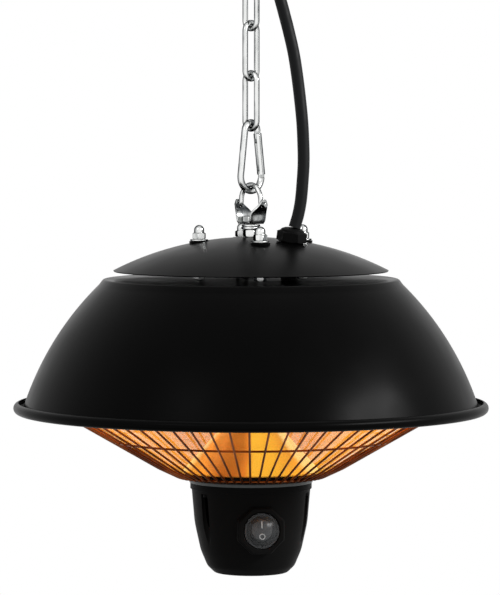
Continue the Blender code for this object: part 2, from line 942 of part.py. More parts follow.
def grommet_spot():
    start = gland_foot - gland_axis * gland_thread_length
    return Vector((start.x, start.y, 0))


def cable_grommet():
    """A rubber ring with a groove, in a hole of the shade's top."""
    half = shade_sheet / 2 + touch
    middle = -shade_sheet / 2
    outline = [
        (grommet_bore, middle + half + grommet_rim),
        (grommet_radius, middle + half + grommet_rim),
        (grommet_radius, middle + half),
        (grommet_neck, middle + half),
        (grommet_neck, middle - half),
        (grommet_radius, middle - half),
        (grommet_radius, middle - half - grommet_rim),
        (grommet_bore, middle - half - grommet_rim),
    ]
    made = turned("cable_grommet", outline, small_steps)
    made.location = grommet_spot() + up * shade_top
    return made


def shade():
    """A spun bowl: flat top, a curved wall that steepens, and an open bead rolled at the rim."""
    gutter = lip_bend - shade_sheet
    lip = (lip_centre_radius, lip_centre)
    wall_end = arc(lip, gutter, lip_start, lip_start, 1)[0]
    shoulder = Vector((shade_shoulder, shade_top - shade_shoulder_bend))
    chord = Vector(wall_end) - shoulder
    half_turn = asin(chord.length / 2 / wall_bend)
    inward = Vector((chord.y, -chord.x)).normalized()
    centre = shoulder + chord / 2 + inward * wall_bend * cos(half_turn)
    first = atan2(shoulder.y - centre.y, shoulder.x - centre.x)
    outer = [(0, shade_top), (shade_shoulder - shade_shoulder_bend, shade_top)]
    outer += arc(centre, wall_bend, first, first - 2 * half_turn, 6)[:-1]
    outer += arc(lip, gutter, lip_start, lip_end, 5)
    inner = arc(lip, lip_bend, lip_end, lip_start, 7)
    inner += arc(centre, wall_bend - shade_sheet, first - 2 * half_turn, first, 6)[1:]
    inner += [
        (shade_shoulder - shade_shoulder_bend, shade_top - shade_sheet),
        (0, shade_top - shade_sheet),
    ]
    made = turned("shade", outer + inner)
    cuts = []
    for turn in bolt_turns:
        spot = from_front(turn) * stud_circle + up * shade_top
        cuts.append(rod("hole", stud_hole, spot - up * overrun, spot + up * overrun, 8))
    spot = grommet_spot() + up * shade_top
    hole = grommet_neck + touch
    cuts.append(rod("grommet_hole", hole, spot - up * overrun, spot + up * overrun))
    return combine(made, gathered("holes", cuts), "DIFFERENCE")


def upper_reflector():
    """The polished dish inside the shade: a flat roof, a sloping side and a flat flange."""
    bore = tube_radius + touch
    outline = [
        (bore, roof_top),
        (roof_radius, roof_top),
        (reflector_mouth, flange_under + reflector_sheet),
        (flange_radius, flange_under + reflector_sheet),
        (flange_radius, flange_under),
        (reflector_mouth - reflector_sheet, flange_under),
        (roof_radius - reflector_sheet, roof_under),
        (bore, roof_under),
    ]
    made = turned("upper_reflector", outline)
    holes = []
    for turn in bolt_turns:
        spot = from_front(turn) * stud_circle + up * roof_under
        holes.append(rod("hole", stud_hole, spot - up * overrun, spot + up * overrun, 8))
    return combine(made, gathered("holes", holes), "DIFFERENCE")


def central_tube():
    high = roof_top + tube_top
    low = collar_top - collar_lid - tube_tail
    return ring("central_tube", tube_radius, tube_radius - tube_wall, low, high, 2 * small_steps)


def lamp_tube():
    """The quartz lamp, bent round into a ring that is open at the back."""
    half = lamp_gap / 2
    turns = arc((0, 0), lamp_circle, pi / 2 + half, 5 * pi / 2 - half, 34)
    return wire("lamp_tube", [Vector((x, y, lamp_height)) for x, y in turns], lamp_radius)


def lamp_holder(name, side):
    """A ceramic block under the reflector that takes one end of the lamp."""
    turn = pi + side * (lamp_gap / 2 - (holder_half + holder_gap) / lamp_circle)
    way = from_front(turn)
    high = roof_under - touch
    low = lamp_height - holder_below
    middle = way * lamp_circle + up * (high + low) / 2
    halves = (holder_half, holder_half, (high - low) / 2)
    return block(name, middle, halves, (way, up.cross(way), up))


def guard_normal():
    """Direction square to the guard's slope, inward and up, as (across, height)."""
    slope = Vector((guard_ring_radius - guard_knee_radius, guard_knee_drop))
    return Vector((-slope.y, slope.x)).normalized()


def guard_route():
    """One radial wire, as (radius, height): down the slope, round the hoop and in to the collar."""
    offset = guard_normal() * weld_step
    return [
        (guard_ring_radius - offset.x, guard_ring_height - offset.y),
        (guard_knee_radius, guard_ring_height - guard_knee_drop),
        (guard_hoop_radius, guard_hoop),
        (guard_end_radius, shoulder_top + touch + guard_wire),
    ]


def hoop(name, radius, height, thickness):
    turns = [2 * pi * (step + 0.5) / guard_count + wire_turn for step in range(guard_count)]
    route = [from_front(turn) * radius + up * height for turn in turns]
    return as_mesh(wire(name, route, thickness, closed=True, roundness=0))


def wire_guard():
    """Sixty radial wires welded to three hoops, as one piece."""
    route = guard_route()
    wires = []
    for number in range(guard_count):
        way = from_front(2 * pi * number / guard_count + wire_turn)
        places = [way * radius + up * height for radius, height in route]
        wires.append(as_mesh(wire(f"wire_{number}", places, guard_wire, roundness=0)))
    guard = gathered("wire_guard", wires)
    offset = guard_normal() * weld_step
    slope = guard_knee_drop / (guard_ring_radius - guard_knee_radius)
    middle_height = route[0][1] - (route[0][0] - guard_middle_radius) * slope
    hoops = [
        hoop("top_hoop", guard_ring_radius, guard_ring_height, guard_hoop_wire),
        hoop("middle_hoop", guard_middle_radius + offset.x, middle_height + offset.y, guard_wire),
        hoop("low_hoop", guard_hoop_radius, guard_hoop + weld_step, guard_hoop_wire),
    ]
    for each in hoops:
        guard = combine(guard, each, "UNION")
    return guard


def glass_guard():
    """The amber glass cone just inside the wires."""
    high = flange_under - touch
    high_radius = guard_ring_radius - glass_gap
    low = base_top + touch
    slope = (high - low) / (high_radius - glass_low_radius)
    sheet = glass_sheet * sqrt(1 + 1 / slope**2)
    outline = [
        (high_radius - sheet, high),
        (high_radius, high),
        (glass_low_radius, low),
        (glass_low_radius - sheet, low),
    ]
    return turned("glass_guard", outline)


def guard_base_plate():
    return ring("guard_base_plate", base_radius, tube_radius + touch, base_under, base_top, large_steps)


def cone_reflector():
    low = base_top + touch
    high = low + cone_rise
    top_radius = tube_radius + loose
    outline = [
        (top_radius, high),
        (top_radius + cone_sheet, high),
        (cone_radius - glass_sheet, low),
        (cone_radius - glass_sheet - cone_sheet, low),
    ]
    return turned("cone_reflector", outline, medium_steps)


def housing_collar():
    """The lid of the control housing: a disc, a neck and the band that shows under the wires."""
    lid_under = collar_top - collar_lid
    outline = [
        (tube_radius + touch, collar_top),
        (collar_neck, collar_top),
        (collar_neck, shoulder_top),
        (collar_radius, shoulder_top),
        (collar_radius, collar_under),
        (collar_inner, collar_under),
        (collar_inner, lid_under),
        (tube_radius + touch, lid_under),
    ]
    made = turned("housing_collar", outline)
    holes = []
    for turn in screw_turns:
        spot = from_front(turn) * screw_circle + up * collar_under
        top = spot + up * (screw_reach + touch)
        holes.append(rod("hole", screw_radius + touch, spot - up * overrun, top, 8))
    return combine(made, gathered("holes", holes), "DIFFERENCE")


def housing_outline():
    """The bowl's outer side: an upright rim, a wall that steepens its turn, and a dished floor."""
    rim_low = housing_top - housing_rim
    floor = housing_top - housing_depth
    return [
        (housing_rim_radius, housing_top, 0),
        (housing_rim_radius, rim_low, 0),
        (housing_top_radius, rim_low - housing_rim_slope, 0),
        (housing_middle_radius, floor + housing_middle_rise, housing_middle_bend),
        (housing_low_radius, floor + housing_low_rise, housing_low_bend),
        (housing_foot_radius, floor + housing_foot_rise, housing_foot_bend),
        (housing_floor_radius, floor, housing_floor_bend),
        (0, floor + housing_floor_dish, 0),
    ]


def control_housing():
    """A moulded bowl with a flat pad for the switch and three screw columns and recesses."""
    outer = rounded(housing_outline(), 2)
    inner_corners = [
        (max(radius - housing_wall, 0), min(height + housing_wall, housing_top), bend)
        for radius, height, bend in housing_outline()
    ]
    inner = rounded(inner_corners, 1)
    made = turned("control_housing", outer + inner[::-1])
    columns, holes, recesses = [], [], []
    for turn in screw_turns:
        spot = from_front(turn)
        high = housing_top - touch
        foot = spot * column_circle + up * (high - column_length)
        columns.append(rod("column", column_radius, foot, spot * column_circle + up * high))
        low = housing_top - housing_depth - overrun
        top = housing_top - recess_drop
        recesses.append(rod("recess", recess_radius, spot * recess_circle + up * low, spot * recess_circle + up * top))
        middle = spot * screw_circle
        holes.append(
            rod("hole", screw_radius + touch, middle + up * (top - overrun), middle + up * (high + overrun), 8)
        )
    made = combine(made, gathered("columns", columns), "UNION")
    made = combine(made, switch_pad(), "UNION")
    made = combine(made, gathered("recesses", recesses), "DIFFERENCE")
    made = combine(made, gathered("holes", holes), "DIFFERENCE")
    centre = up * switch_height
    front = from_front(0)
    hole = rod("switch_hole", switch_hole, centre + front * switch_back, centre + front * 2 * pad_front, 24)
    return combine(made, hole, "DIFFERENCE")


def facing_front(made, reach):
    """Turns a piece made about the vertical to face the front, at a distance from the axis."""
    made.matrix_world = Matrix.Translation(
        up * switch_height + from_front(0) * reach
    ) @ Matrix.Rotation(pi / 2, 4, "X")
    bpy.context.view_layer.update()
    return made


def switch_pad():
    corner = pad_flats / 2 / cos(pi / 8)
    outline = [(0, pad_front - pad_back), (corner, pad_front - pad_back), (corner, 0), (0, 0)]
    pad = turned("pad", outline, 8)
    pad.data.transform(Matrix.Rotation(pi / 8, 4, "Z"))
    return gathered("switch_pad", [facing_front(pad, pad_back)])


def switch_bezel():
    made = nut("switch_bezel", bezel_flats, bezel_bore, touch, bezel_height, 8)
    return facing_front(made, pad_front)


def switch_body():
    """The switch's barrel, its front flange, and the pocket that the rocker sits in."""
    front = switch_flange + touch
    back = switch_back - pad_front
    outline = [
        (0, front - pocket_depth),
        (pocket_radius, front - pocket_depth),
        (pocket_radius, front),
        (switch_flange_radius, front),
        (switch_flange_radius, touch),
        (switch_radius, touch),
        (switch_radius, back),
        (0, back),
    ]
    return facing_front(turned("switch_body", outline, 2 * small_steps), pad_front)


def switch_boot():
    """A clear soft dome over the rocker, clamped by its rim inside the bezel."""
    low = switch_flange + 2 * touch
    bend = (boot_dome_radius**2 + boot_dome**2) / (2 * boot_dome)
    middle = low + boot_dome - bend
    reach = asin(boot_dome_radius / bend)
    inner = arc((0, middle), bend, pi / 2 - reach, pi / 2, 3)
    outer_bend = bend + boot_sheet
    rim_top = low + boot_rim
    outer_reach = acos_of(rim_top - middle, outer_bend)
    outer = arc((0, middle), outer_bend, pi / 2, pi / 2 - outer_reach, 3)
    rim = [(switch_flange_radius, rim_top), (switch_flange_radius, low)]
    outline = outer + rim + inner
    return facing_front(turned("switch_boot", outline, 2 * small_steps), pad_front)


def acos_of(height, radius):
    """Angle from the vertical at which a circle of a radius passes a height above its middle."""
    return pi / 2 - asin(height / radius)


def switch_rocker():
    """A round rocker with a shallow V face, tipped with its upper end pressed in."""
    body = turned(
        "switch_rocker",
        [
            (0, rocker_front),
            (rocker_radius, rocker_front + rocker_crown),
            (rocker_radius, rocker_front - 2 * rocker_half),
            (0, rocker_front - 2 * rocker_half),
        ],
        2 * small_steps,
    )
    made = facing_front(body, pad_front - rocker_sunk)
    made.matrix_world = made.matrix_world @ Matrix.Rotation(-rocker_tilt, 4, "X")
    return made


def housing_screw(number, turn):
    spot = from_front(turn) * screw_circle
    head_top = housing_top - recess_drop - touch
    top = collar_under + screw_reach
    outline = [
        (0, top),
        (screw_radius, top),
        (screw_radius, head_top),
        (screw_head_radius, head_top),
        (screw_head_radius, head_top - screw_head),
        (0, head_top - screw_head),
    ]
    made = turned(f"housing_screw_{number}", outline, small_steps)
    made.location = spot
    return made


def pivot(name, height, across=0.0):
    """The empty that marks a joint, which the pieces that it moves are parented to."""
    made = add(name, None)
    made.empty_display_size = link_bend
    made.location = up * height + swing_way * across
    return made


def carry(parent, pieces):
    bpy.context.view_layer.update()
    for piece in pieces:
        piece.parent = parent
        piece.matrix_parent_inverse = parent.matrix_world.inverted()


def build():
    clear_scene()
    look = finishes()

    fixed = [dressed(piece, look["zinc"]) for piece in (ceiling_plate(), ceiling_hook())]
    fixed.append(dressed(ceiling_socket(), look["moulding"]))

    link_1 = dressed(chain_link("chain_link_1", pivot_hook, link_way), look["zinc"])
    link_2 = dressed(chain_link("chain_link_2", link_2_top, swing_way), look["zinc"])
    link_3 = dressed(chain_link("chain_link_3", pivot_link_3, link_way), look["zinc"])
    snap = [dressed(piece, look["zinc"]) for piece in (carabiner_body(), gate_pin())]
    gate = dressed(carabiner_gate(), look["zinc"])

    hanger = [
        hanger_bail(),
        hanger_strap(),
        hanger_bolt(),
        ring(
            "hanger_washer",
            hanger_washer_radius,
            hanger_bolt_radius + touch,
            washer_top - hanger_washer_sheet,
            washer_top,
            2 * small_steps,
        ),
        ring(
            "hanger_spring_washer",
            spring_washer_radius,
            hanger_bolt_radius + touch,
            spring_top - spring_washer_sheet,
            spring_top,
            2 * small_steps,
        ),
        nut("hanger_nut", hanger_bolt_flats, hanger_bolt_radius + touch, nut_top - hanger_nut, nut_top),
    ]
    lock_high = cap_height(hanger_bolt_flats / 2 / cos(pi / 6), cap_bend - cap_sheet) - touch
    hanger.append(
        nut(
            "hanger_lock_nut",
            hanger_bolt_flats,
            hanger_bolt_radius + touch,
            lock_high - hanger_nut,
            lock_high,
        )
    )
    heater = [dressed(piece, look["zinc"]) for piece in hanger]

    acorn = acorn_mesh()
    bpy.data.objects.remove(bpy.data.objects["acorn"])
    for number, turn in enumerate(bolt_turns, 1):
        heater += bolt_set(number, turn, acorn, look)

    for piece in (top_cap(), shade()):
        heater.append(dressed(piece, look["black"]))
    for piece in (gland_nut(), gland_body(), gland_lock_nut()):
        heater.append(dressed(piece, look["moulding"]))
    heater.append(dressed(wire("power_cable", smooth_route(cable_route(), 2), cable_radius), look["rubber"]))
    heater.append(
        dressed(wire("inner_lead", smooth_route(inner_route(), 3), lead_radius, roundness=1), look["rubber"])
    )
    heater.append(dressed(cable_grommet(), look["rubber"]))

    for piece in (upper_reflector(), cone_reflector()):
        heater.append(dressed(piece, look["bright"]))
    tube_nut_low = roof_top + touch
    lid_under = collar_top - collar_lid - touch
    tube_bore = tube_radius + touch
    for piece in (
        central_tube(),
        nut("tube_nut_upper", tube_nut_flats, tube_bore, tube_nut_low, tube_nut_low + tube_nut),
        nut("tube_nut_lower", tube_nut_flats, tube_bore, lid_under - tube_nut, lid_under),
    ):
        heater.append(dressed(piece, look["zinc"]))
    heater.append(dressed(lamp_tube(), look["lamp"]))
    heater.append(dressed(lamp_holder("lamp_holder_left", -1), look["ceramic"]))
    heater.append(dressed(lamp_holder("lamp_holder_right", 1), look["ceramic"]))

    heater.append(dressed(wire_guard(), look["guard"]))
    heater.append(dressed(glass_guard(), look["glass"]))
    heater.append(dressed(guard_base_plate(), look["moulding"]))
    heater.append(dressed(housing_collar(), look["collar"]))
    for piece in (control_housing(), switch_bezel(), switch_body()):
        heater.append(dressed(piece, look["moulding"]))
    for number, turn in enumerate(screw_turns, 1):
        heater.append(dressed(housing_screw(number, turn), look["zinc"]))
    heater.append(dressed(switch_boot(), look["boot"]))
    rocker = dressed(switch_rocker(), look["rocker"])

    pin_spot = snap_point(snap_tail - gate_over)
    carry(pivot("hook_swing", pivot_hook), [link_1])
    carry(pivot("link_2_swing", pivot_link_2), [link_2])
    carry(pivot("link_3_swing", pivot_link_3), [link_3])
    carry(pivot("carabiner_swing", pivot_snap), snap)
    carry(pivot("gate_hinge", pin_spot.z, pin_spot.dot(swing_way)), [gate])
    carry(pivot("heater_swing", pivot_bail), heater)
    carry(bpy.data.objects["heater_swing"], [rocker])


build()
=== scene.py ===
"""A hanging patio heater with its lamp lit, on a white ground.

Sizes are in millimetres and are turned to metres where a piece is made. Heights are counted from
the ceiling, downwards. The front, with the switch, faces -Y.
"""

from math import asin, atan2, cos, pi, radians, sin, sqrt, tan

import bmesh
import bpy
from mathutils import Matrix, Vector


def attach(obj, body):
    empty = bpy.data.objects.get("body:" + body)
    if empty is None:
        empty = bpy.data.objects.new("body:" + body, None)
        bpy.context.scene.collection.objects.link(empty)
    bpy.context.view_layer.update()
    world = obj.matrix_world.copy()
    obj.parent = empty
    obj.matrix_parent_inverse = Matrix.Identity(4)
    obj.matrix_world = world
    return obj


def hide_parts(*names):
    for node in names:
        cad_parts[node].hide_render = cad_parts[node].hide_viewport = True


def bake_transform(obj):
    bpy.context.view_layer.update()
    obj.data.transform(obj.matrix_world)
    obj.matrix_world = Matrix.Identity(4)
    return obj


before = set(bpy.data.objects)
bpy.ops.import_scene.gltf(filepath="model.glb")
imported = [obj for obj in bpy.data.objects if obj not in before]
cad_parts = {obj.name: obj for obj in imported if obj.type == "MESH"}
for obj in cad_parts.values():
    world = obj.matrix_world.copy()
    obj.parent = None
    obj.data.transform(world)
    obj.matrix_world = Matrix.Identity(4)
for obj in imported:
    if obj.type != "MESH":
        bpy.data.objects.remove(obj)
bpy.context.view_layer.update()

MM = 0.001
UP = Vector((0, 0, 1))


def from_front(degrees):
    """Level direction at an angle from the front towards +X."""
    turn = radians(degrees)
    return Vector((sin(turn), -cos(turn), 0))


LINK_WAY = from_front(35)
SWING_WAY = UP.cross(LINK_WAY)

# Heights
HOOK_LOW = -97.0
HOOK_PIVOT = -91.2
LINK_2_TOP = -135.9
LINK_3_PIVOT = -180.6
SNAP_TOP = -224.8
BAIL_TOP = -280.3
EAR_HOLE = -298.1
STRAP = -314.7
CAP_TOP = -327.1
SEAT = -330.33
SHADE_TOP = -364.5
ROOF = -432.5
LAMP = -462.5
FLANGE = -479.0
LIP = -479.6
GUARD_RING = -480.4
GUARD_HOOP = -541.6
BASE = -536.4
COLLAR_TOP = -538.9
COLLAR_SHOULDER = -543.2
COLLAR_LOW = -546.8
HOUSING_TOP = -547.1
SWITCH = -585.0

# Radii, angles and gaps that several pieces share
TOUCH = 0.3
TUBE_HOLE = 11.3
LIP_RADIUS = 207.9
SHADE_BEND = 270
LAMP_RADIUS = 110
GUARD_RADIUS = 172.5
GUARD_KNEE = 84.0
GUARD_KNEE_DROP = 52.7
GUARD_HOOP_RADIUS = 66.0
GUARD_MIDDLE = 127.0
GUARD_COUNT = 60
CAP_BEND = 269.57
BOLT_CIRCLE = 47.0
BOLT_TURNS = (0, 90, 180, 270)
SCREW_TURNS = (-62, 62, 180)
RECESS_CIRCLE = 51.4
GLAND_CIRCLE = 43.3
GLAND_TURN = 45
PAD_FRONT = 53.0
CABLE_THICKNESS = 10.8
CABLE_STRETCHES = 5
CHAIN_WIRE = 5.0
SNAP_WIRE = 6
PLATE_HOLES = 34
SOCKET_OFFSET = 25


# ---- tools ----


def colour(code):
    """An sRGB hex colour as linear values."""
    parts = [int(code[place : place + 2], 16) / 255 for place in (1, 3, 5)]
    linear = [part / 12.92 if part <= 0.04045 else ((part + 0.055) / 1.055) ** 2.4 for part in parts]
    return (*linear, 1.0)


def node(material, kind, settings=None, links=None, stops=(), **inputs):
    """Adds a node with its settings, its input values and its links, given as input=(node, output).

    Stops of colours, given as (value, colour), are set where the node has them.
    """
    made = material.node_tree.nodes.new(kind)
    for name, value in (settings or {}).items():
        setattr(made, name, value)
    for name, value in inputs.items():
        made.inputs[name.replace("_", " ")].default_value = value
    for name, (source, output) in (links or {}).items():
        material.node_tree.links.new(source.outputs[output], made.inputs[name])
    for place, (spot, code) in enumerate(stops):
        elements = made.color_ramp.elements
        stop = elements[place] if place < 2 else elements.new(spot)
        stop.position, stop.color = spot, colour(code)
    return made


def alone():
    """Leaves edit mode, with nothing selected."""
    if bpy.context.object and bpy.context.object.mode != "OBJECT":
        bpy.ops.object.mode_set(mode="OBJECT")
    bpy.ops.object.select_all(action="DESELECT")


def choose(*pieces):
    """Selects these pieces alone, with the last one active."""
    alone()
    for piece in pieces:
        piece.select_set(True)
    bpy.context.view_layer.objects.active = pieces[-1]


def pick(kind, wanted):
    """In edit mode, selects the points, edges or faces whose points all pass a test."""
    mesh = bpy.context.edit_object.data
    shape = bmesh.from_edit_mesh(mesh)
    for group in (shape.faces, shape.edges, shape.verts):
        for part in group:
            part.select = False
    for part in getattr(shape, kind):
        points = [part] if kind == "verts" else part.verts
        if all(wanted(point.co / MM) for point in points):
            part.select_set(True)
    bmesh.update_edit_mesh(mesh)


def settle(name, angle=35):
    """Names the active piece, puts its place in its mesh, and smooths its round sides."""
    piece = bpy.context.object
    choose(piece)
    piece.name = name
    piece.data.name = name
    bpy.ops.object.transform_apply(location=True, rotation=True, scale=True)
    bpy.ops.object.mode_set(mode="EDIT")
    bpy.ops.mesh.select_all(action="SELECT")
    bpy.ops.mesh.remove_doubles(threshold=0.000002)
    bpy.ops.mesh.normals_make_consistent(inside=False)
    bpy.ops.object.mode_set(mode="OBJECT")
    bpy.ops.object.shade_smooth_by_angle(angle=radians(angle))
    return piece


def apply_modifiers(piece):
    choose(piece)
    for modifier in list(piece.modifiers):
        bpy.ops.object.modifier_apply(modifier=modifier.name)
    return piece


def eased(piece, width, steps=2, angle=35):
    """Rounds the piece's sharp edges."""
    bevel = piece.modifiers.new("edges", "BEVEL")
    bevel.width = width * MM
    bevel.segments = steps
    bevel.limit_method = "ANGLE"
    bevel.angle_limit = radians(angle)
    bevel.harden_normals = False
    apply_modifiers(piece)
    bpy.ops.object.shade_smooth_by_angle(angle=radians(angle))
    return piece


def cut(piece, *tools, operation="DIFFERENCE"):
    """Cuts the piece with tools, or joins them to it, and deletes the tools."""
    for tool in tools:
        change = piece.modifiers.new("cut", "BOOLEAN")
        change.operation = operation
        change.solver = "EXACT"
        change.object = tool
        apply_modifiers(piece)
        bpy.data.objects.remove(tool)
    bpy.ops.object.shade_smooth_by_angle(angle=radians(35))
    return piece


def joined(name, pieces):
    choose(*pieces)
    bpy.ops.object.join()
    made = bpy.context.object
    made.name = name
    made.data.name = name
    return made


def placed(piece, matrix):
    """Moves a finished piece by a matrix, and keeps the move in its mesh."""
    piece.data.transform(matrix)
    piece.data.update()
    return piece


def moved(piece, place):
    """Moves a finished piece by a distance in millimetres."""
    return placed(piece, Matrix.Translation(Vector(place) * MM))


def arc(centre, radius, start, end, steps):
    """Points of an arc in a plane, from one angle in degrees to another."""
    turns = [radians(start + (end - start) * step / steps) for step in range(steps + 1)]
    return [(centre[0] + radius * cos(turn), centre[1] + radius * sin(turn)) for turn in turns]


def softened(corners, steps=5):
    """An outline through corners given as (across, height, bend), with each bend an arc."""
    points = []
    for place, (across, height, bend) in enumerate(corners):
        corner = Vector((across, height))
        if not bend or place in (0, len(corners) - 1):
            points.append(tuple(corner))
            continue
        back = (Vector(corners[place - 1][:2]) - corner).normalized()
        ahead = (Vector(corners[place + 1][:2]) - corner).normalized()
        half = back.angle(ahead) / 2
        middle = corner + (back + ahead).normalized() * bend / sin(half)
        first = corner + back * bend / tan(half) - middle
        last = corner + ahead * bend / tan(half) - middle
        start = atan2(first.y, first.x)
        sweep = (atan2(last.y, last.x) - start + pi) % (2 * pi) - pi
        points += arc(middle, bend, start * 180 / pi, (start + sweep) * 180 / pi, steps)
    return points


def turned(name, outline, steps=96, angle=35):
    """A turned piece: a circle drawn out ring by ring along an outline of (radius, height).

    An outline that starts on the axis starts with a disc, and one that ends there ends with one.
    """
    points = list(outline)
    solid_start = points[0][0] < 0.001
    solid_end = points[-1][0] < 0.001
    points = points[solid_start : len(points) - solid_end]
    radius, height = points[0]
    alone()
    bpy.ops.mesh.primitive_circle_add(
        vertices=steps,
        radius=radius * MM,
        location=(0, 0, height * MM),
        fill_type="TRIFAN" if solid_start else "NOTHING",
    )
    bpy.ops.object.transform_apply(location=True, rotation=True, scale=True)
    bpy.ops.object.mode_set(mode="EDIT")
    bpy.ops.mesh.select_mode(type="EDGE")
    rim = radius
    pick("edges", lambda point: abs(Vector(point[:2]).length - rim) < rim * 0.01)
    for (old, low), (new, high) in zip(points, points[1:]):
        bpy.ops.mesh.extrude_edges_move(TRANSFORM_OT_translate={"value": (0, 0, (high - low) * MM)})
        bpy.ops.transform.resize(value=(new / old, new / old, 1), center_override=(0, 0, high * MM))
    if solid_end:
        bpy.ops.mesh.extrude_edges_move(
            TRANSFORM_OT_translate={"value": (0, 0, (outline[-1][1] - points[-1][1]) * MM)}
        )
        bpy.ops.mesh.merge(type="CENTER")
    return settle(name, angle)


def bent_wire(name, route, thickness, closed=False, roundness=5):
    """A round wire along a route of points in millimetres, with its ends closed."""
    alone()
    bpy.ops.curve.primitive_nurbs_path_add()
    made = bpy.context.object
    curve = made.data
    curve.splines.clear()
    spline = curve.splines.new("POLY")
    spline.points.add(len(route) - 1)
    for point, place in zip(spline.points, route):
        point.co = (*(Vector(place) * MM), 1)
    spline.use_cyclic_u = closed
    curve.bevel_depth = thickness / 2 * MM
    curve.bevel_resolution = roundness
    curve.use_fill_caps = True
    choose(made)
    bpy.ops.object.convert(target="MESH")
    return settle(name, 50)


def wire_ring(name, radius, thickness, place, steps=180, sides=10, angle=60):
    """A closed level ring of round wire about a place in millimetres."""
    alone()
    bpy.ops.mesh.primitive_torus_add(
        major_segments=steps,
        minor_segments=sides,
        major_radius=radius * MM,
        minor_radius=thickness / 2 * MM,
        location=Vector(place) * MM,
    )
    return settle(name, angle)


def beside(way, outline):
    """Points in the upright plane through a level direction."""
    return [way * across + UP * along for across, along in outline]


def bar(name, thickness, start, end, sides=48):
    """A round bar between two points in millimetres."""
    way = Vector(end) - Vector(start)
    alone()
    bpy.ops.mesh.primitive_cylinder_add(
        vertices=sides, radius=thickness / 2 * MM, depth=way.length * MM, end_fill_type="NGON"
    )
    made = bpy.context.object
    middle = (Vector(start) + Vector(end)) / 2 * MM
    placed(made, Matrix.Translation(middle) @ way.to_track_quat("Z", "Y").to_matrix().to_4x4())
    return settle(name)


def prism(name, sides, flats, low, high, turn=None):
    """A prism about the vertical, of this size across its flats."""
    alone()
    bpy.ops.mesh.primitive_cylinder_add(
        vertices=sides,
        radius=flats / 2 / cos(pi / sides) * MM,
        depth=(high - low) * MM,
        location=(0, 0, (high + low) / 2 * MM),
        rotation=(0, 0, pi / sides if turn is None else radians(turn)),
    )
    return settle(name)


def hexagon(name, flats, low, high, turn=0, chamfer=0.35):
    """A hexagon prism about the vertical, with its corners eased as on a nut."""
    made = prism(name, 6, flats, low, high, turn)
    corner = flats / 2 / cos(pi / 6)
    drop = corner - flats / 2 * 1.01
    face, side, ease = flats / 2 * 0.96, corner * 1.02, drop * 0.7
    crown = [(0, high), (face, high), (side, high - ease), (side, low + ease), (face, low), (0, low)]
    made = cut(made, turned("crown", crown, 48), operation="INTERSECT")
    return eased(made, chamfer * 0.5, 1)


def finished(piece, material):
    """Puts one material on the whole piece."""
    piece.data.materials.clear()
    piece.data.materials.append(material)


def dressed(piece, body, material, slot, *nodes):
    """Gives a piece its finish, the body that it rides on and the nodes that it stands for."""
    finished(piece, material)
    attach(piece, body)
    if nodes:
        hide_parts(*nodes)
    return piece


# ---- finishes ----


def surface(name, **inputs):
    """A material whose shader has these values, with its colours as hex."""
    made = bpy.data.materials.new(name)
    made.use_nodes = True
    shader = made.node_tree.nodes["Principled BSDF"]
    for key, value in inputs.items():
        slot = key.replace("_", " ")
        shader.inputs[slot].default_value = colour(value) if isinstance(value, str) else value
    return made, shader


def grain(material, shader, size, depth, detail=3.0, stretch=(1, 1, 1), rough=None):
    """A bump from noise whose grains are about this many millimetres, which can steer the roughness.
    """
    place = node(material, "ShaderNodeTexCoord")
    mapping = node(material, "ShaderNodeMapping", links={"Vector": (place, "Object")}, Scale=stretch)
    where = {"Vector": (mapping, "Vector")}
    noise = node(material, "ShaderNodeTexNoise", links=where, Scale=1000 / size, Detail=detail)
    bump = node(
        material, "ShaderNodeBump", links={"Height": (noise, "Fac")}, Strength=0.6, Distance=depth * MM
    )
    material.node_tree.links.new(bump.outputs["Normal"], shader.inputs["Normal"])
    if rough:
        ramp = node(
            material,
            "ShaderNodeMapRange",
            links={"Value": (noise, "Fac")},
            From_Min=0.35,
            From_Max=0.65,
            To_Min=rough[0],
            To_Max=rough[1],
        )
        material.node_tree.links.new(ramp.outputs["Result"], shader.inputs["Roughness"])
    return noise


def blotches(material, shader, size, stops):
    """A colour that wanders over patches of this many millimetres."""
    place = node(material, "ShaderNodeTexCoord")
    where = {"Vector": (place, "Object")}
    noise = node(material, "ShaderNodeTexNoise", links=where, Scale=1000 / size, Detail=4.0)
    ramp = node(material, "ShaderNodeValToRGB", links={"Fac": (noise, "Fac")}, stops=stops)
    material.node_tree.links.new(ramp.outputs["Color"], shader.inputs["Base Color"])


def zinc_plate(name, streaks):
    """Bright zinc-plated steel: a cool mirror with painted shade darkening its edges by the angle they are
    seen at, and streaks drawn along it.

    A higher value for the streaks makes them darker.
    """
    # Painted shade: the dark specular tint and the Layer Weight facing below darken the zinc's edges seen
    # at a slant.
    made, shader = surface(name, Metallic=1.0, Roughness=0.2, Specular_Tint="#303234")
    noise = grain(made, shader, 5, 0.03, detail=2.0, stretch=(1, 1, 0.35), rough=(0.12, 0.26))
    edge = node(made, "ShaderNodeLayerWeight", Blend=0.5)
    wander = node(
        made,
        "ShaderNodeMath",
        settings={"operation": "MULTIPLY_ADD"},
        links={0: (noise, "Fac"), 2: (edge, "Facing")},
    )
    wander.inputs[1].default_value = streaks
    stops = [(0.3, "#eff0ef"), (0.52, "#bdbfbe"), (0.7, "#6c6f71"), (0.9, "#1c1e1f")]
    ramp = node(made, "ShaderNodeValToRGB", links={"Fac": (wander, "Value")}, stops=stops)
    made.node_tree.links.new(ramp.outputs["Color"], shader.inputs["Base Color"])
    return made


def black_enamel():
    """Satin stove enamel on spun steel: deep black, with a soft sheen near its outline."""
    made, shader = surface(
        "satin_black_enamel", Base_Color="#030303", Roughness=0.3, Specular_IOR_Level=0.03
    )
    grain(made, shader, 40, 0.02, detail=1.0, rough=(0.28, 0.34))
    return made


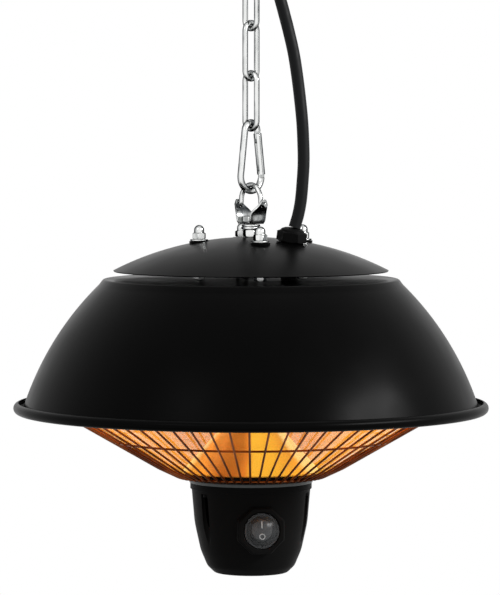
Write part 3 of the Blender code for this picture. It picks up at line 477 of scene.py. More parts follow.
def black_moulding():
    """Glass-filled moulded plastic: black, slightly rough, with a fine spark-eroded grain."""
    made, shader = surface(
        "black_moulded_plastic", Base_Color="#101010", Roughness=0.45, Specular_IOR_Level=0.02
    )
    grain(made, shader, 1.2, 0.004, rough=(0.42, 0.52))
    return made


def collar_paint():
    """Heat-proof paint on pressed steel: dark grey and dull."""
    made, shader = surface("dark_grey_paint", Base_Color="#3a3e3e", Roughness=0.42)
    grain(made, shader, 1.5, 0.015, rough=(0.36, 0.5))
    return made


def black_rubber():
    """Extruded rubber sheath: black with a dull bloom that is drawn out along the cable."""
    made, shader = surface(
        "black_rubber_sheath", Base_Color="#0d0e0f", Roughness=0.5, Specular_IOR_Level=0.12
    )
    grain(made, shader, 3.0, 0.02, stretch=(1, 1, 0.12), rough=(0.42, 0.58))
    return made


def painted_glow_round(material, shader, stops, strength):
    """A painted glow that changes round the axis, from stops given as (share of the turn, colour), 0.5 in
    front: light painted on a surface that is no lamp.
    """
    place = node(material, "ShaderNodeTexCoord")
    parts = node(material, "ShaderNodeSeparateXYZ", links={"Vector": (place, "Object")})
    front = node(material, "ShaderNodeMath", settings={"operation": "MULTIPLY"}, links={0: (parts, "Y")})
    front.inputs[1].default_value = -1.0
    turn = node(
        material,
        "ShaderNodeMath",
        settings={"operation": "ARCTAN2"},
        links={0: (parts, "X"), 1: (front, "Value")},
    )
    along = node(
        material, "ShaderNodeMapRange", links={"Value": (turn, "Value")}, From_Min=-pi, From_Max=pi
    )
    noise = node(
        material, "ShaderNodeTexNoise", links={"Vector": (place, "Object")}, Scale=22.0, Detail=2.0
    )
    wander = node(
        material,
        "ShaderNodeMath",
        settings={"operation": "MULTIPLY_ADD"},
        links={0: (noise, "Fac"), 2: (along, "Result")},
    )
    wander.inputs[1].default_value = 0.04
    ramp = node(material, "ShaderNodeValToRGB", links={"Fac": (wander, "Value")}, stops=stops)
    # Painted light: this colour is emitted by reflectors and glass, which are no lamps.
    material.node_tree.links.new(ramp.outputs["Color"], shader.inputs["Emission Color"])
    shader.inputs["Emission Strength"].default_value = strength


def reflector_with_painted_glow(name, stops, strength):
    """Polished aluminium under the lamp: its warm tint and the hot tube's streaks round the axis are
    painted light, glowing from the metal itself.
    """
    made, shader = surface(name, Base_Color="#9a6a28", Metallic=1.0, Roughness=0.3)
    painted_glow_round(made, shader, stops, strength)
    return made


def hot_lamp():
    """Quartz tube with its coil hot: an even, warm yellow-white glow."""
    made, _ = surface(
        "glowing_quartz",
        Base_Color="#ffd9a0",
        Roughness=0.1,
        Emission_Color="#ffc070",
        Emission_Strength=4.0,
    )
    return made


def amber_glass():
    """Heat-proof amber glass: it lets the lamp through and carries a painted glow, with a painted shadow
    where the cone shades it.
    """
    made, shader = surface(
        "amber_glass", Base_Color="#eca440", Roughness=0.06, Alpha=0.38, Specular_IOR_Level=0.2
    )
    # Painted glow on the glass; the darker stops from 0.43 to 0.55 are a painted shadow of the cone.
    painted_glow_round(
        made,
        shader,
        [
            (0.3, "#b88420"),
            (0.4, "#b07c1c"),
            (0.43, "#744818"),
            (0.55, "#744818"),
            (0.6, "#b88820"),
            (0.7, "#b88820"),
        ],
        1.0,
    )
    grain(made, shader, 26, 0.05)
    return made


def guard_wire():
    """Bright-drawn steel wire, browned by the heat."""
    made, shader = surface("heat_browned_wire", Metallic=1.0, Roughness=0.36)
    blotches(made, shader, 30, [(0.4, "#5a2a10"), (0.62, "#8c4a20")])
    grain(made, shader, 0.8, 0.02)
    return made


def white_ceramic():
    """Fired ceramic of the lamp holders: warm white and dull, with a chalky grain."""
    made, shader = surface("lamp_holder_ceramic", Base_Color="#e6ddcf", Roughness=0.6)
    grain(made, shader, 0.8, 0.03)
    return made


def rocker_plastic():
    """Dark grey switch plastic, finely grained."""
    made, shader = surface("dark_grey_plastic", Base_Color="#404244", Roughness=0.42)
    grain(made, shader, 0.8, 0.02)
    return made


def white_ink():
    """White printed on the switch: flat and even."""
    made, shader = surface("white_marking", Base_Color="#f4f6f8", Roughness=0.5)
    grain(made, shader, 0.6, 0.005)
    return made


def clear_silicone():
    """Clear soft rubber over the switch, with a few shallow wrinkles."""
    made, shader = surface("clear_silicone", Base_Color="#505254", Roughness=0.25, Alpha=0.22)
    grain(made, shader, 3.2, 0.3, detail=2.0)
    return made


ZINC = zinc_plate("bright_zinc_plate", 0.55)
PLAIN_ZINC = zinc_plate("plain_zinc_plate", 0.1)
ENAMEL = black_enamel()
MOULDING = black_moulding()
COLLAR = collar_paint()
RUBBER = black_rubber()
# Painted reflection of the lamp in the dish: brightest in front (0.5), duller towards the sides and back.
DISH = reflector_with_painted_glow(
    "dish_reflector_painted_glow",
    [
        (0.2, "#b06a34"),
        (0.34, "#e0945c"),
        (0.42, "#e8a46c"),
        (0.5, "#f0a850"),
        (0.6, "#ecaa50"),
        (0.8, "#c88040"),
    ],
    0.7,
)
# Painted glow on the cone: pale painted highlights along its sides (0.28, 0.655), a dark painted reflection
# left of front (0.415 to 0.455), and bright yellow in front.
CONE = reflector_with_painted_glow(
    "cone_reflector_painted_glow",
    [
        (0.28, "#f0e090"),
        (0.315, "#c88438"),
        (0.385, "#b06c34"),
        (0.415, "#441408"),
        (0.455, "#481808"),
        (0.475, "#c86c24"),
        (0.495, "#fcd03c"),
        (0.56, "#f4c838"),
        (0.63, "#c89838"),
        (0.655, "#f4f0a0"),
    ],
    1.4,
)
GLOW = hot_lamp()
GLASS = amber_glass()
GUARD = guard_wire()
CERAMIC = white_ceramic()
ROCKER = rocker_plastic()
INK = white_ink()
BOOT = clear_silicone()


# ---- camera, light and ground ----


def camera():
    """A long lens, level with the chain and tipped down three degrees."""
    data = bpy.data.cameras.new("camera")
    data.lens = 237.0
    data.sensor_width = 36.0
    eye = bpy.data.objects.new("camera", data)
    bpy.context.scene.collection.objects.link(eye)
    turn = radians(-10.0)
    tip = radians(3.10)
    distance, aside, height = 3.5, -0.0009, -0.1917
    back = Vector((sin(turn) * cos(tip), -cos(turn) * cos(tip), sin(tip)))
    right = Vector((cos(turn), sin(turn), 0))
    level = Vector((sin(turn), -cos(turn), 0))
    eye.location = level * distance + right * aside + UP * height
    eye.rotation_mode = "QUATERNION"
    eye.rotation_quaternion = back.to_track_quat("Z", "Y")
    bpy.context.scene.camera = eye


def softbox(name, place, aim, size, power, height=None):
    data = bpy.data.lights.new(name, "AREA")
    data.shape = "RECTANGLE"
    data.size = size
    data.size_y = height or size
    data.energy = power
    lamp = bpy.data.objects.new(name, data)
    bpy.context.scene.collection.objects.link(lamp)
    lamp.location = place
    lamp.rotation_mode = "QUATERNION"
    lamp.rotation_quaternion = (Vector(place) - Vector(aim)).to_track_quat("Z", "Y")
    lamp.visible_camera = False


def ground():
    """A pale round floor, well below the heater, that is clear from underneath."""
    alone()
    bpy.ops.mesh.primitive_circle_add(vertices=96, radius=2.4, location=(0, 0, -1.9), fill_type="NGON")
    floor = bpy.context.object
    floor.name = "floor"
    made, shader = surface("pale_floor", Base_Color="#f2f2f0", Roughness=0.8)
    side = node(made, "ShaderNodeNewGeometry")
    clear = node(made, "ShaderNodeBsdfTransparent")
    mix = node(
        made,
        "ShaderNodeMixShader",
        links={"Fac": (side, "Backfacing"), 1: (shader, "BSDF"), 2: (clear, "BSDF")},
    )
    made.node_tree.links.new(mix.outputs[0], made.node_tree.nodes["Material Output"].inputs["Surface"])
    floor.data.materials.append(made)


def studio():
    """White all round to the eye and in what metal and glass mirror, with a softer light on the heater."""
    scene = bpy.context.scene
    scene.view_settings.view_transform = "Standard"
    world = bpy.data.worlds.new("studio")
    scene.world = world
    world.use_nodes = True
    back = world.node_tree.nodes["Background"]
    path = node(world, "ShaderNodeLightPath")
    either = {"operation": "MAXIMUM"}
    rays = {0: (path, "Is Camera Ray"), 1: (path, "Is Transmission Ray")}
    seen = node(world, "ShaderNodeMath", settings=either, links=rays)
    rays = {0: (seen, "Value"), 1: (path, "Is Glossy Ray")}
    mirrored = node(world, "ShaderNodeMath", settings=either, links=rays)
    strength = node(
        world, "ShaderNodeMapRange", links={"Value": (mirrored, "Value")}, To_Min=0.36, To_Max=1.0
    )
    world.node_tree.links.new(strength.outputs["Result"], back.inputs["Strength"])
    back.inputs["Color"].default_value = (1, 1, 1, 1)
    middle = (0, 0, -0.4)
    softbox("key", (-1.6, -1.6, 1.0), middle, 1.0, 5)
    softbox("fill", (1.56, -1.1, 0.44), (0.1, -0.2, -0.465), 1.2, 44, 0.35)
    softbox("top", (0.2, 0.4, 1.6), middle, 1.2, 4)


camera()
studio()
ground()


# ---- the power cable ----


def smooth_route(places, steps):
    """Points on a smooth curve through given places, with even steps between them."""
    ends = [2 * places[0] - places[1], *places, 2 * places[-1] - places[-2]]
    points = []
    for before, start, end, after in zip(ends, ends[1:], ends[2:], ends[3:]):
        for step in range(steps):
            t = step / steps
            points.append(
                (
                    2 * start
                    + (end - before) * t
                    + (2 * before - 5 * start + 4 * end - after) * t**2
                    + (3 * start - before - 3 * end + after) * t**3
                )
                / 2
            )
    return points + [places[-1]]


GLAND_SLOPE = asin(GLAND_CIRCLE / CAP_BEND)
GLAND_AXIS = Matrix.Rotation(GLAND_SLOPE, 3, UP.cross(from_front(GLAND_TURN))) @ UP
GLAND_FOOT = from_front(GLAND_TURN) * GLAND_CIRCLE + UP * (
    CAP_TOP - CAP_BEND + sqrt(CAP_BEND**2 - GLAND_CIRCLE**2)
)


def cable_places():
    """The places that the cable passes, from the gland to the ceiling socket."""
    gland_top = 13.1
    start = GLAND_FOOT + GLAND_AXIS * gland_top + Vector((1.3, -0.4, 0))
    end = LINK_WAY * SOCKET_OFFSET - UP * 20.6
    middle = [
        (35.0, -32.5, -312.5),
        (36.9, -32.4, -306.0),
        (39.2, -32.2, -294.0),
        (40.8, -32.0, -277.0),
        (41.8, -31.7, -260.0),
        (41.6, -31.1, -242.0),
        (40.8, -30.4, -224.0),
        (39.1, -29.4, -205.0),
        (36.8, -28.5, -185.0),
        (33.7, -27.4, -164.0),
        (29.4, -26.0, -144.0),
        (24.4, -24.6, -124.0),
        (19.8, -23.1, -106.0),
        (16.8, -21.9, -88.0),
        (15.2, -21.1, -68.0),
        (14.6, -20.6, -50.0),
    ]
    return [start, *[Vector(place) for place in middle], end - UP * 9, end - UP * 4.5, end]


def even(line, count):
    """The line again, with this many points evenly along it."""
    lengths = [0.0]
    for start, end in zip(line, line[1:]):
        lengths.append(lengths[-1] + (end - start).length)
    points = []
    place = 0
    for step in range(count):
        along = lengths[-1] * step / (count - 1)
        while place < len(line) - 2 and lengths[place + 1] < along:
            place += 1
        share = (along - lengths[place]) / (lengths[place + 1] - lengths[place])
        points.append(line[place].lerp(line[place + 1], min(share, 1.0)))
    return points, lengths[-1]


def power_cable():
    """The cable in five stretches, one for each joint of the chain."""
    steps = 30
    points, total = even(smooth_route(cable_places(), 8), CABLE_STRETCHES * steps + 1)
    for number in range(CABLE_STRETCHES):
        line = points[number * steps : (number + 1) * steps + 1]
        name = f"power_cable_{number + 1}"
        piece = bent_wire(name, line, CABLE_THICKNESS, roundness=8)
        finished(piece, RUBBER)
        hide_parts("power_cable")
        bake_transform(piece)


# ---- ceiling fitting ----


def ceiling_plate():
    corners = [
        (0, 0, 0),
        (45, 0, 0.4),
        (45, -3, 1.4),
        (7.5, -3, 0.8),
        (7.5, -17, 1.2),
        (3.3, -17, 0),
        (3.3, -3.6, 0),
        (0, -3.6, 0),
    ]
    plate = turned("ceiling_plate", softened(corners, 4))
    holes = []
    for side in (-PLATE_HOLES, PLATE_HOLES):
        middle = SWING_WAY * side
        holes.append(bar("hole", 4.6, middle - UP * 8, middle + UP * 8))
        sink = turned("sink", [(0, 0), (2.3, -1.4), (5.4, -3.2), (5.4, -6), (0, -6)], 48)
        holes.append(moved(sink, middle))
    return dressed(cut(plate, *holes), "ceiling", PLAIN_ZINC, "zinc", "ceiling_plate")


def ceiling_hook():
    bend = 9
    bowl = HOOK_LOW + bend
    shank = softened([(0, -3.4, 0), (0, bowl + 16, 7), (-bend, bowl + 5.4, 7), (-bend, bowl, 0)], 8)
    route = shank[:-1] + arc((0, bowl), bend, 180, 360, 24) + [(bend, bowl + 3.5), (bend, bowl + 7)]
    hook = bent_wire("ceiling_hook", beside(SWING_WAY, route), 6, roundness=8)
    return dressed(eased(hook, 0.8, 3, 50), "ceiling", ZINC, "zinc", "ceiling_hook")


def ceiling_cable_socket():
    corners = [
        (0, -3.3, 0),
        (9, -3.3, 0),
        (9, -11.8, 0.8),
        (6.5, -20.3, 1.2),
        (5.4, -20.3, 0.2),
        (5.4, -18.5, 0),
        (0, -18.5, 0),
    ]
    socket = moved(turned("ceiling_cable_socket", softened(corners, 4), 64), LINK_WAY * SOCKET_OFFSET)
    return dressed(socket, "ceiling", MOULDING, "moulding", "ceiling_cable_socket")


# ---- chain and snap hook ----


def chain_link(name, top, way, body):
    """Half a wire ring is drawn down into straight sides, and mirrored."""
    bend, pitch = 7.25, 50.0
    straight = pitch / 2 - bend
    alone()
    bpy.ops.mesh.primitive_torus_add(
        major_segments=64,
        minor_segments=24,
        major_radius=bend * MM,
        minor_radius=CHAIN_WIRE / 2 * MM,
        rotation=(pi / 2, 0, 0),
    )
    bpy.ops.object.transform_apply(location=True, rotation=True, scale=True)
    bpy.ops.object.mode_set(mode="EDIT")
    bpy.ops.mesh.select_all(action="SELECT")
    bpy.ops.mesh.bisect(plane_co=(0, 0, 0), plane_no=(0, 0, 1), clear_inner=True, threshold=0.000001)
    bpy.ops.mesh.select_all(action="SELECT")
    bpy.ops.transform.translate(value=(0, 0, straight * MM))
    bpy.ops.mesh.select_mode(type="EDGE")
    pick("edges", lambda point: abs(point.z - straight) < 0.01)
    for _ in range(3):
        bpy.ops.mesh.extrude_edges_move(TRANSFORM_OT_translate={"value": (0, 0, -straight / 3 * MM)})
    bpy.ops.object.mode_set(mode="OBJECT")
    link = bpy.context.object
    mirror = link.modifiers.new("lower_half", "MIRROR")
    mirror.use_axis = (False, False, True)
    mirror.merge_threshold = 0.00001
    apply_modifiers(link)
    settle(name, 60)
    turn = Matrix.Rotation(atan2(way.y, way.x), 4, "Z")
    placed(link, Matrix.Translation(UP * (top - pitch / 2) * MM) @ turn)
    return dressed(link, body, ZINC, "zinc", name)


SNAP_PITCH = 61.0
SNAP_TOP_BEND = 7.75
SNAP_LOW_BEND = 12.95
SNAP_LEAN = asin((SNAP_LOW_BEND - SNAP_TOP_BEND) / (SNAP_PITCH - SNAP_TOP_BEND - SNAP_LOW_BEND))


def snap_point(along, aside=0.0):
    """A place on the gate's side of the snap hook, at a distance from its upper end."""
    middle = SNAP_TOP - SNAP_TOP_BEND
    start = Vector((SNAP_TOP_BEND * cos(SNAP_LEAN), middle + SNAP_TOP_BEND * sin(SNAP_LEAN)))
    spot = start + Vector((sin(SNAP_LEAN), -cos(SNAP_LEAN))) * along
    return SWING_WAY * spot.x + UP * spot.y + LINK_WAY * aside


def slab(name, middle, halves, ways):
    """A block about a middle point, with its half sizes along three directions."""
    alone()
    bpy.ops.mesh.primitive_cube_add(size=2)
    made = bpy.context.object
    sides = Matrix([way * half * MM for way, half in zip(ways, halves)]).transposed().to_4x4()
    placed(made, Matrix.Translation(Vector(middle) * MM) @ sides)
    return settle(name)


def snap_hook():
    """A pear-shaped ring of wire with two cut tongues, and a slotted gate that sits over them."""
    lean = SNAP_LEAN * 180 / pi
    top = SNAP_TOP - SNAP_TOP_BEND
    low = SNAP_TOP - SNAP_PITCH + SNAP_LOW_BEND
    length = sqrt((SNAP_PITCH - SNAP_TOP_BEND - SNAP_LOW_BEND) ** 2 - (SNAP_LOW_BEND - SNAP_TOP_BEND) ** 2)
    down = (snap_point(1) - snap_point(0)).normalized()
    across = LINK_WAY.cross(down)
    upper = arc((0, top), SNAP_TOP_BEND, lean, 180 - lean, 26)
    lower = arc((0, low), SNAP_LOW_BEND, 180 - lean, 360 + lean, 36)
    tongue_low, tongue_high = 7.5, length - 3.0
    gate_low, gate_high = 3.1, length + 0.1
    pin_place, pin_reach = 5.3, 3.6
    half_tongue, half_cut = 1.3, 3
    route = [snap_point(tongue_low), *beside(SWING_WAY, upper + lower), snap_point(tongue_high)]
    body = bent_wire("carabiner_body", route, SNAP_WIRE, roundness=8)
    cuts = []
    for along in (tongue_low, tongue_high):
        for side in (-1, 1):
            middle = snap_point(along, side * (half_tongue + half_cut))
            cuts.append(slab("cut", middle, (half_cut, 6.2, 6), (LINK_WAY, down, across)))
    body = eased(cut(body, *cuts), 0.3, 2)
    ends = snap_point(pin_place, -pin_reach), snap_point(pin_place, pin_reach)
    pin = bar("gate_pin", 2.2, *ends, 32)
    gate = bar("carabiner_gate", 7.2, snap_point(gate_low), snap_point(gate_high))
    slots = []
    for along in (gate_low, gate_high):
        slots.append(slab("slot", snap_point(along), (1.7, 8.5, 8), (LINK_WAY, down, across)))
    gate = eased(cut(gate, *slots), 0.5, 3)
    dressed(body, "carabiner", ZINC, "zinc", "carabiner_body")
    dressed(eased(pin, 0.4, 2), "carabiner", ZINC, "zinc", "gate_pin")
    dressed(gate, "gate", ZINC, "zinc", "carabiner_gate")


# ---- hanger ----


def hanger_bail():
    half, rise = 12.2, 14.3
    centre = BAIL_TOP - rise
    bow = []
    for step in range(33):
        turn = pi * step / 32
        bow.append((half * cos(turn), centre + rise * sin(turn)))
    side = softened([(half, centre, 0), (half, EAR_HOLE, 2.9), (19.0, EAR_HOLE, 0)], 8)
    right = side[:0:-1]
    left = [(-across, along) for across, along in side[1:]]
    bail = bent_wire("hanger_bail", beside(LINK_WAY, right + bow + left), 4.4, roundness=7)
    return dressed(eased(bail, 0.9, 3, 50), "heater", ZINC, "zinc", "hanger_bail")


def hanger_strap():
    """A strip of plate, drawn out to both sides and up into two ears shaped like petals.

    Each row gives the strip's reach to one side, its rise and its width.
    """
    rows = [
        (7.2, 0, 16.5),
        (7.9, 2.8, 19),
        (9.3, 9.3, 18.8),
        (14.6, 15.9, 11),
        (15.9, 19.6, 6.8),
        (16.2, 21.2, 4),
    ]
    rows = smooth_route([Vector(row) for row in rows], 4)
    base, _, wide = rows[0]
    alone()
    bpy.ops.mesh.primitive_plane_add(size=2)
    strap = bpy.context.object
    placed(strap, Matrix.Diagonal((base * MM, wide / 2 * MM, 1, 1)))
    bpy.ops.object.mode_set(mode="EDIT")
    bpy.ops.mesh.select_mode(type="EDGE")
    for side in (-1, 1):
        pick("edges", lambda point: abs(point.x - side * base) < 0.01)
        for old, new in zip(rows, rows[1:]):
            move = (side * (new[0] - old[0]) * MM, 0, (new[1] - old[1]) * MM)
            bpy.ops.mesh.extrude_edges_move(TRANSFORM_OT_translate={"value": move})
            bpy.ops.transform.resize(value=(1, new[2] / old[2], 1))
    bpy.ops.object.mode_set(mode="OBJECT")
    sheet = strap.modifiers.new("sheet", "SOLIDIFY")
    sheet.thickness = 1.8 * MM
    sheet.offset = 0
    eased(strap, 0.4, 3, 60)
    settle("hanger_strap", 40)
    turn = Matrix.Rotation(atan2(LINK_WAY.y, LINK_WAY.x), 4, "Z")
    placed(strap, Matrix.Translation(UP * STRAP * MM) @ turn)
    reach = LINK_WAY * 24
    cuts = [bar("ear_holes", 5.2, UP * EAR_HOLE - reach, UP * EAR_HOLE + reach)]
    cuts.append(bar("bolt_hole", 8.4, UP * (STRAP - 4), UP * (STRAP + 4)))
    return dressed(cut(strap, *cuts), "heater", ZINC, "zinc", "hanger_strap")


def hanger_bolt():
    low = STRAP + 1.2
    head = hexagon("head", 13, low, low + 5.3, 35)
    shank = bar("shank", 7.8, UP * (CAP_TOP - 24), UP * (low + 2))
    bolt = joined("hanger_bolt", [shank, head])
    return dressed(bolt, "heater", ZINC, "zinc", "hanger_bolt")


def flat_ring(name, outer, inner, low, high, bend=0.3, steps=64):
    seam = (inner, (low + high) / 2, 0)
    corners = [(inner, high, bend), (outer, high, bend), (outer, low, bend), (inner, low, bend)]
    return turned(name, softened([seam, *corners, seam], 3), steps)


def hanger_washers():
    """The plain washer, the spring washer and the nut under the strap."""
    hole = 4.2
    top = STRAP - 0.9 - TOUCH
    low = top - 1.6
    plain = flat_ring("hanger_washer", 8.2, hole, low, top)
    dressed(plain, "heater", ZINC, "zinc", "hanger_washer")
    top = low - TOUCH
    low = top - 2.2
    spring = flat_ring("hanger_spring_washer", 8.8, hole, low, top, 0.5)
    dressed(spring, "heater", ZINC, "zinc", "hanger_spring_washer")
    top = low - TOUCH
    nut = hexagon("hanger_nut", 13, top - 6.5, top, 12)
    dressed(nut, "heater", ZINC, "zinc", "hanger_nut")


# ---- cap, bolts and shade ----


def top_cap():
    """A shallow dome with four flat seats pressed in it for the bolts, and a hole for the gland."""
    middle = CAP_TOP - CAP_BEND
    bolt_hole, edge, seat_size = 4.2, 123.1, 17.6
    start = asin(bolt_hole / CAP_BEND) * 180 / pi
    end = asin(edge / CAP_BEND) * 180 / pi
    outer = arc((0, middle), CAP_BEND, 90 - start, 90 - end, 40)
    inner = arc((0, middle), CAP_BEND - 1, 90 - end, 90 - start, 40)
    cap = turned("top_cap", outer + inner + outer[:1], 160)
    seats, cuts = [], []
    for turn in BOLT_TURNS:
        foot = from_front(turn) * BOLT_CIRCLE + UP * SEAT
        seats.append(bar("seat", seat_size, foot - UP * 2.2, foot, 64))
        cuts.append(bar("seat_top", seat_size, foot, foot + UP * 4, 64))
    reach = GLAND_AXIS * 8
    cuts.append(bar("gland_hole", 16.2, GLAND_FOOT - reach, GLAND_FOOT + reach))
    cap = cut(cut(cap, *seats, operation="UNION"), *cuts)
    return dressed(eased(cap, 0.3, 2, 25), "heater", ENAMEL, "enamel", "top_cap")


def acorn_nut(number, turn):
    spot = from_front(turn) * BOLT_CIRCLE
    washer_low = SEAT + TOUCH
    washer_high = washer_low + 1.2
    low = washer_high + TOUCH
    waist = low + 5
    nut = hexagon("hexagon", 11, low, low + 5.4, turn + 12)
    dome = turned("dome", arc((0, low + 8), 4.5, 90, 0, 12) + [(4.5, waist), (0, waist)], 48)
    ledge = [(0, waist + 0.9, 0), (4.9, waist + 0.9, 0.4), (4.9, waist, 0), (0, waist, 0)]
    collar = turned("collar", softened(ledge, 3), 48)
    nut = joined(f"acorn_nut_{number}", [dome, collar, nut])
    moved(nut, spot)
    dressed(nut, "heater", ZINC, "zinc", f"acorn_nut_{number}")
    washer = flat_ring(f"cap_washer_{number}", 8, 3.3, washer_low, washer_high)
    moved(washer, spot)
    dressed(washer, "heater", ZINC, "zinc", f"cap_washer_{number}")


def long_bolt(number, turn):
    spot = from_front(turn) * BOLT_CIRCLE
    high = ROOF - 1 - TOUCH
    head = hexagon("head", 10, high - 4.2, high, turn)
    shank = bar("shank", 5.8, UP * (high - 2), UP * (SEAT + 9))
    bolt = joined(f"long_bolt_{number}", [shank, head])
    moved(bolt, spot)
    dressed(bolt, "heater", ZINC, "zinc", f"long_bolt_{number}")
    nut = hexagon(f"middle_nut_{number}", 10, SHADE_TOP + TOUCH, SHADE_TOP + TOUCH + 5, turn + 20)
    moved(nut, spot)
    dressed(nut, "heater", ZINC, "zinc", f"middle_nut_{number}")


def gland():
    """A hexagon dome nut on a threaded body, square to the slope of the cap."""
    nut = hexagon("hexagon", 23.2, TOUCH, 9.7, 15, 0.8)
    corners = [(0, 12.6, 0), (7, 12.6, 1.2), (10.2, 11.2, 2.5), (11.2, 8.9, 0), (11.2, 7.5, 0), (0, 7.5, 0)]
    made = joined("gland_nut", [turned("dome", softened(corners), 64), nut])
    lean = UP.rotation_difference(GLAND_AXIS).to_matrix().to_4x4()
    placed(made, Matrix.Translation(GLAND_FOOT * MM) @ lean)
    return dressed(made, "heater", MOULDING, "moulding", "gland_nut")


def inner_lead():
    """The thin lead from the gland down through the shade and into the tube."""
    lead_top, thread_low = 12.1, 11.5
    start = GLAND_FOOT - GLAND_AXIS * lead_top
    thread_end = GLAND_FOOT - GLAND_AXIS * thread_low
    aside = Vector((thread_end.x, thread_end.y, 0))
    grommet = aside + UP * SHADE_TOP
    rim = UP * 2.7
    drop = UP * (SHADE_TOP - ROOF)
    places = [
        start,
        (start + grommet) / 2,
        grommet + rim,
        grommet - rim,
        grommet - rim * 3,
        UP * SHADE_TOP + aside * 0.85 - drop * 0.35,
        UP * SHADE_TOP + aside * 0.15 - drop * 0.7,
        UP * (ROOF + 9),
        UP * (ROOF - 33),
        UP * (BASE + 24.6),
        UP * (HOUSING_TOP - 12.5),
    ]
    lead = bent_wire("inner_lead", smooth_route(places, 8), 7.6, roundness=6)
    return dressed(lead, "heater", RUBBER, "rubber", "inner_lead")


def shade():
    """A spun bowl: a flat top, a wall that steepens, and an open bead rolled at the rim."""
    sheet, gutter, bead_start, bead_end = 1, 3.8, 199, 445
    lip = (LIP_RADIUS, LIP)
    wall_end = Vector(arc(lip, gutter, bead_start, bead_start, 1)[0])
    shoulder = Vector((133.9, SHADE_TOP - 3))
    chord = wall_end - shoulder
    half_turn = asin(chord.length / 2 / SHADE_BEND)
    inward = Vector((chord.y, -chord.x)).normalized()
    centre = shoulder + chord / 2 + inward * SHADE_BEND * cos(half_turn)
    first = atan2(shoulder.y - centre.y, shoulder.x - centre.x) * 180 / pi
    last = first - 2 * half_turn * 180 / pi
    flat = 127.5
    outer = [(8, SHADE_TOP), (60, SHADE_TOP), (110, SHADE_TOP), (flat, SHADE_TOP)]
    outer += arc((130.5, SHADE_TOP - 3.4), 3.4, 90, first, 6)
    outer += arc(centre, SHADE_BEND, first, last, 44)[1:-1]
    outer += arc(lip, gutter, bead_start, bead_end, 30)
    inner = arc(lip, gutter + sheet, bead_end, bead_start, 34)
    inner += arc(centre, SHADE_BEND - sheet, last, first, 44)[1:]
    inner += [(flat, SHADE_TOP - sheet), (8, SHADE_TOP - sheet), (8, SHADE_TOP)]
    return dressed(turned("shade", outer + inner, 180), "heater", ENAMEL, "enamel", "shade")


# ---- heater inside the shade ----


def upper_reflector():
    corners = [
        (TUBE_HOLE, ROOF, 0),
        (128, ROOF, 4),
        (164, FLANGE + 1, 2),
        (178, FLANGE + 1, 0.3),
        (178, FLANGE, 0.3),
        (163, FLANGE, 2),
        (127, ROOF - 1, 4),
        (TUBE_HOLE, ROOF - 1, 0),
        (TUBE_HOLE, ROOF, 0),
    ]
    outline = softened(corners)
    return dressed(turned("upper_reflector", outline, 128), "heater", DISH, "bright", "upper_reflector")


def cone_reflector():
    """A cone of sheet round the middle tube, with a narrow flat rim at its top."""
    low = BASE + TOUCH
    high = low + 49.3
    outline = [(11.5, high), (16.5, high), (61.0, low), (59.9, low), (11.5, high - 1.5), (11.5, high)]
    return dressed(turned("cone_reflector", outline, 128), "heater", CONE, "bright", "cone_reflector")


def lamp():
    """A ring of quartz tube, open at the back, with a holder at each end."""
    half_gap, end_inside = 12, 9.3
    turns = arc((0, 0), LAMP_RADIUS, 90 + half_gap, 450 - half_gap, 120)
    tube = bent_wire("lamp_tube", [(x, y, LAMP) for x, y in turns], 11, roundness=6)
    dressed(tube, "heater", GLOW, "lamp", "lamp_tube")
    for name, side in (("lamp_holder_left", -1), ("lamp_holder_right", 1)):
        way = from_front(180 + side * (half_gap - end_inside / LAMP_RADIUS * 180 / pi))
        high = ROOF - 1 - TOUCH
        low = LAMP - 8.5
        middle = way * LAMP_RADIUS + UP * (high + low) / 2
        block = slab(name, middle, (8, 8, (high - low) / 2), (way, UP.cross(way), UP))
        dressed(eased(block, 1.2, 3), "heater", CERAMIC, "ceramic", name)


def glass_guard():
    """A cone of glass just inside the wires."""
    high, low = FLANGE - TOUCH, BASE + TOUCH
    outline = [(164.6, high), (170.0, high), (68.6, low), (63.2, low), (164.6, high)]
    return dressed(turned("glass_guard", outline, 128), "heater", GLASS, "glass", "glass_guard")


def wire_guard():
    """One bent wire, copied sixty times round the axis, on three hoops."""
    weld = 1.4
    run = GUARD_RADIUS - GUARD_KNEE
    slope = Vector((run, GUARD_KNEE_DROP)).normalized()
    inward = Vector((-slope.y, slope.x)) * weld
    start = (GUARD_RADIUS - inward.x, GUARD_RING - inward.y)
    corners = [
        (*start, 0),
        (GUARD_KNEE, GUARD_RING - GUARD_KNEE_DROP, 14),
        (GUARD_HOOP_RADIUS, GUARD_HOOP, 5),
        (51.8, COLLAR_SHOULDER + 1.3, 0),
    ]
    first = bent_wire("wire", beside(from_front(1.5), softened(corners, 4)), 2.0, roundness=2)
    wires = [first]
    for number in range(1, GUARD_COUNT):
        copy = first.copy()
        copy.data = first.data.copy()
        bpy.context.scene.collection.objects.link(copy)
        wires.append(placed(copy, Matrix.Rotation(2 * pi * number / GUARD_COUNT, 4, "Z")))
    middle = start[1] - (start[0] - GUARD_MIDDLE) * GUARD_KNEE_DROP / run
    hoops = [
        wire_ring("hoop", GUARD_RADIUS, 2.2, (0, 0, GUARD_RING)),
        wire_ring("hoop", GUARD_MIDDLE + inward.x, 2.0, (0, 0, middle + inward.y)),
        wire_ring("hoop", GUARD_HOOP_RADIUS, 2.2, (0, 0, GUARD_HOOP + weld)),
    ]
    return dressed(joined("wire_guard", wires + hoops), "heater", GUARD, "guard", "wire_guard")


def guard_base_plate():
    plate = flat_ring("guard_base_plate", 68.7, TUBE_HOLE, BASE - 2.2, BASE, 0.8, 128)
    return dressed(plate, "heater", MOULDING, "moulding", "guard_base_plate")


# ---- control housing ----


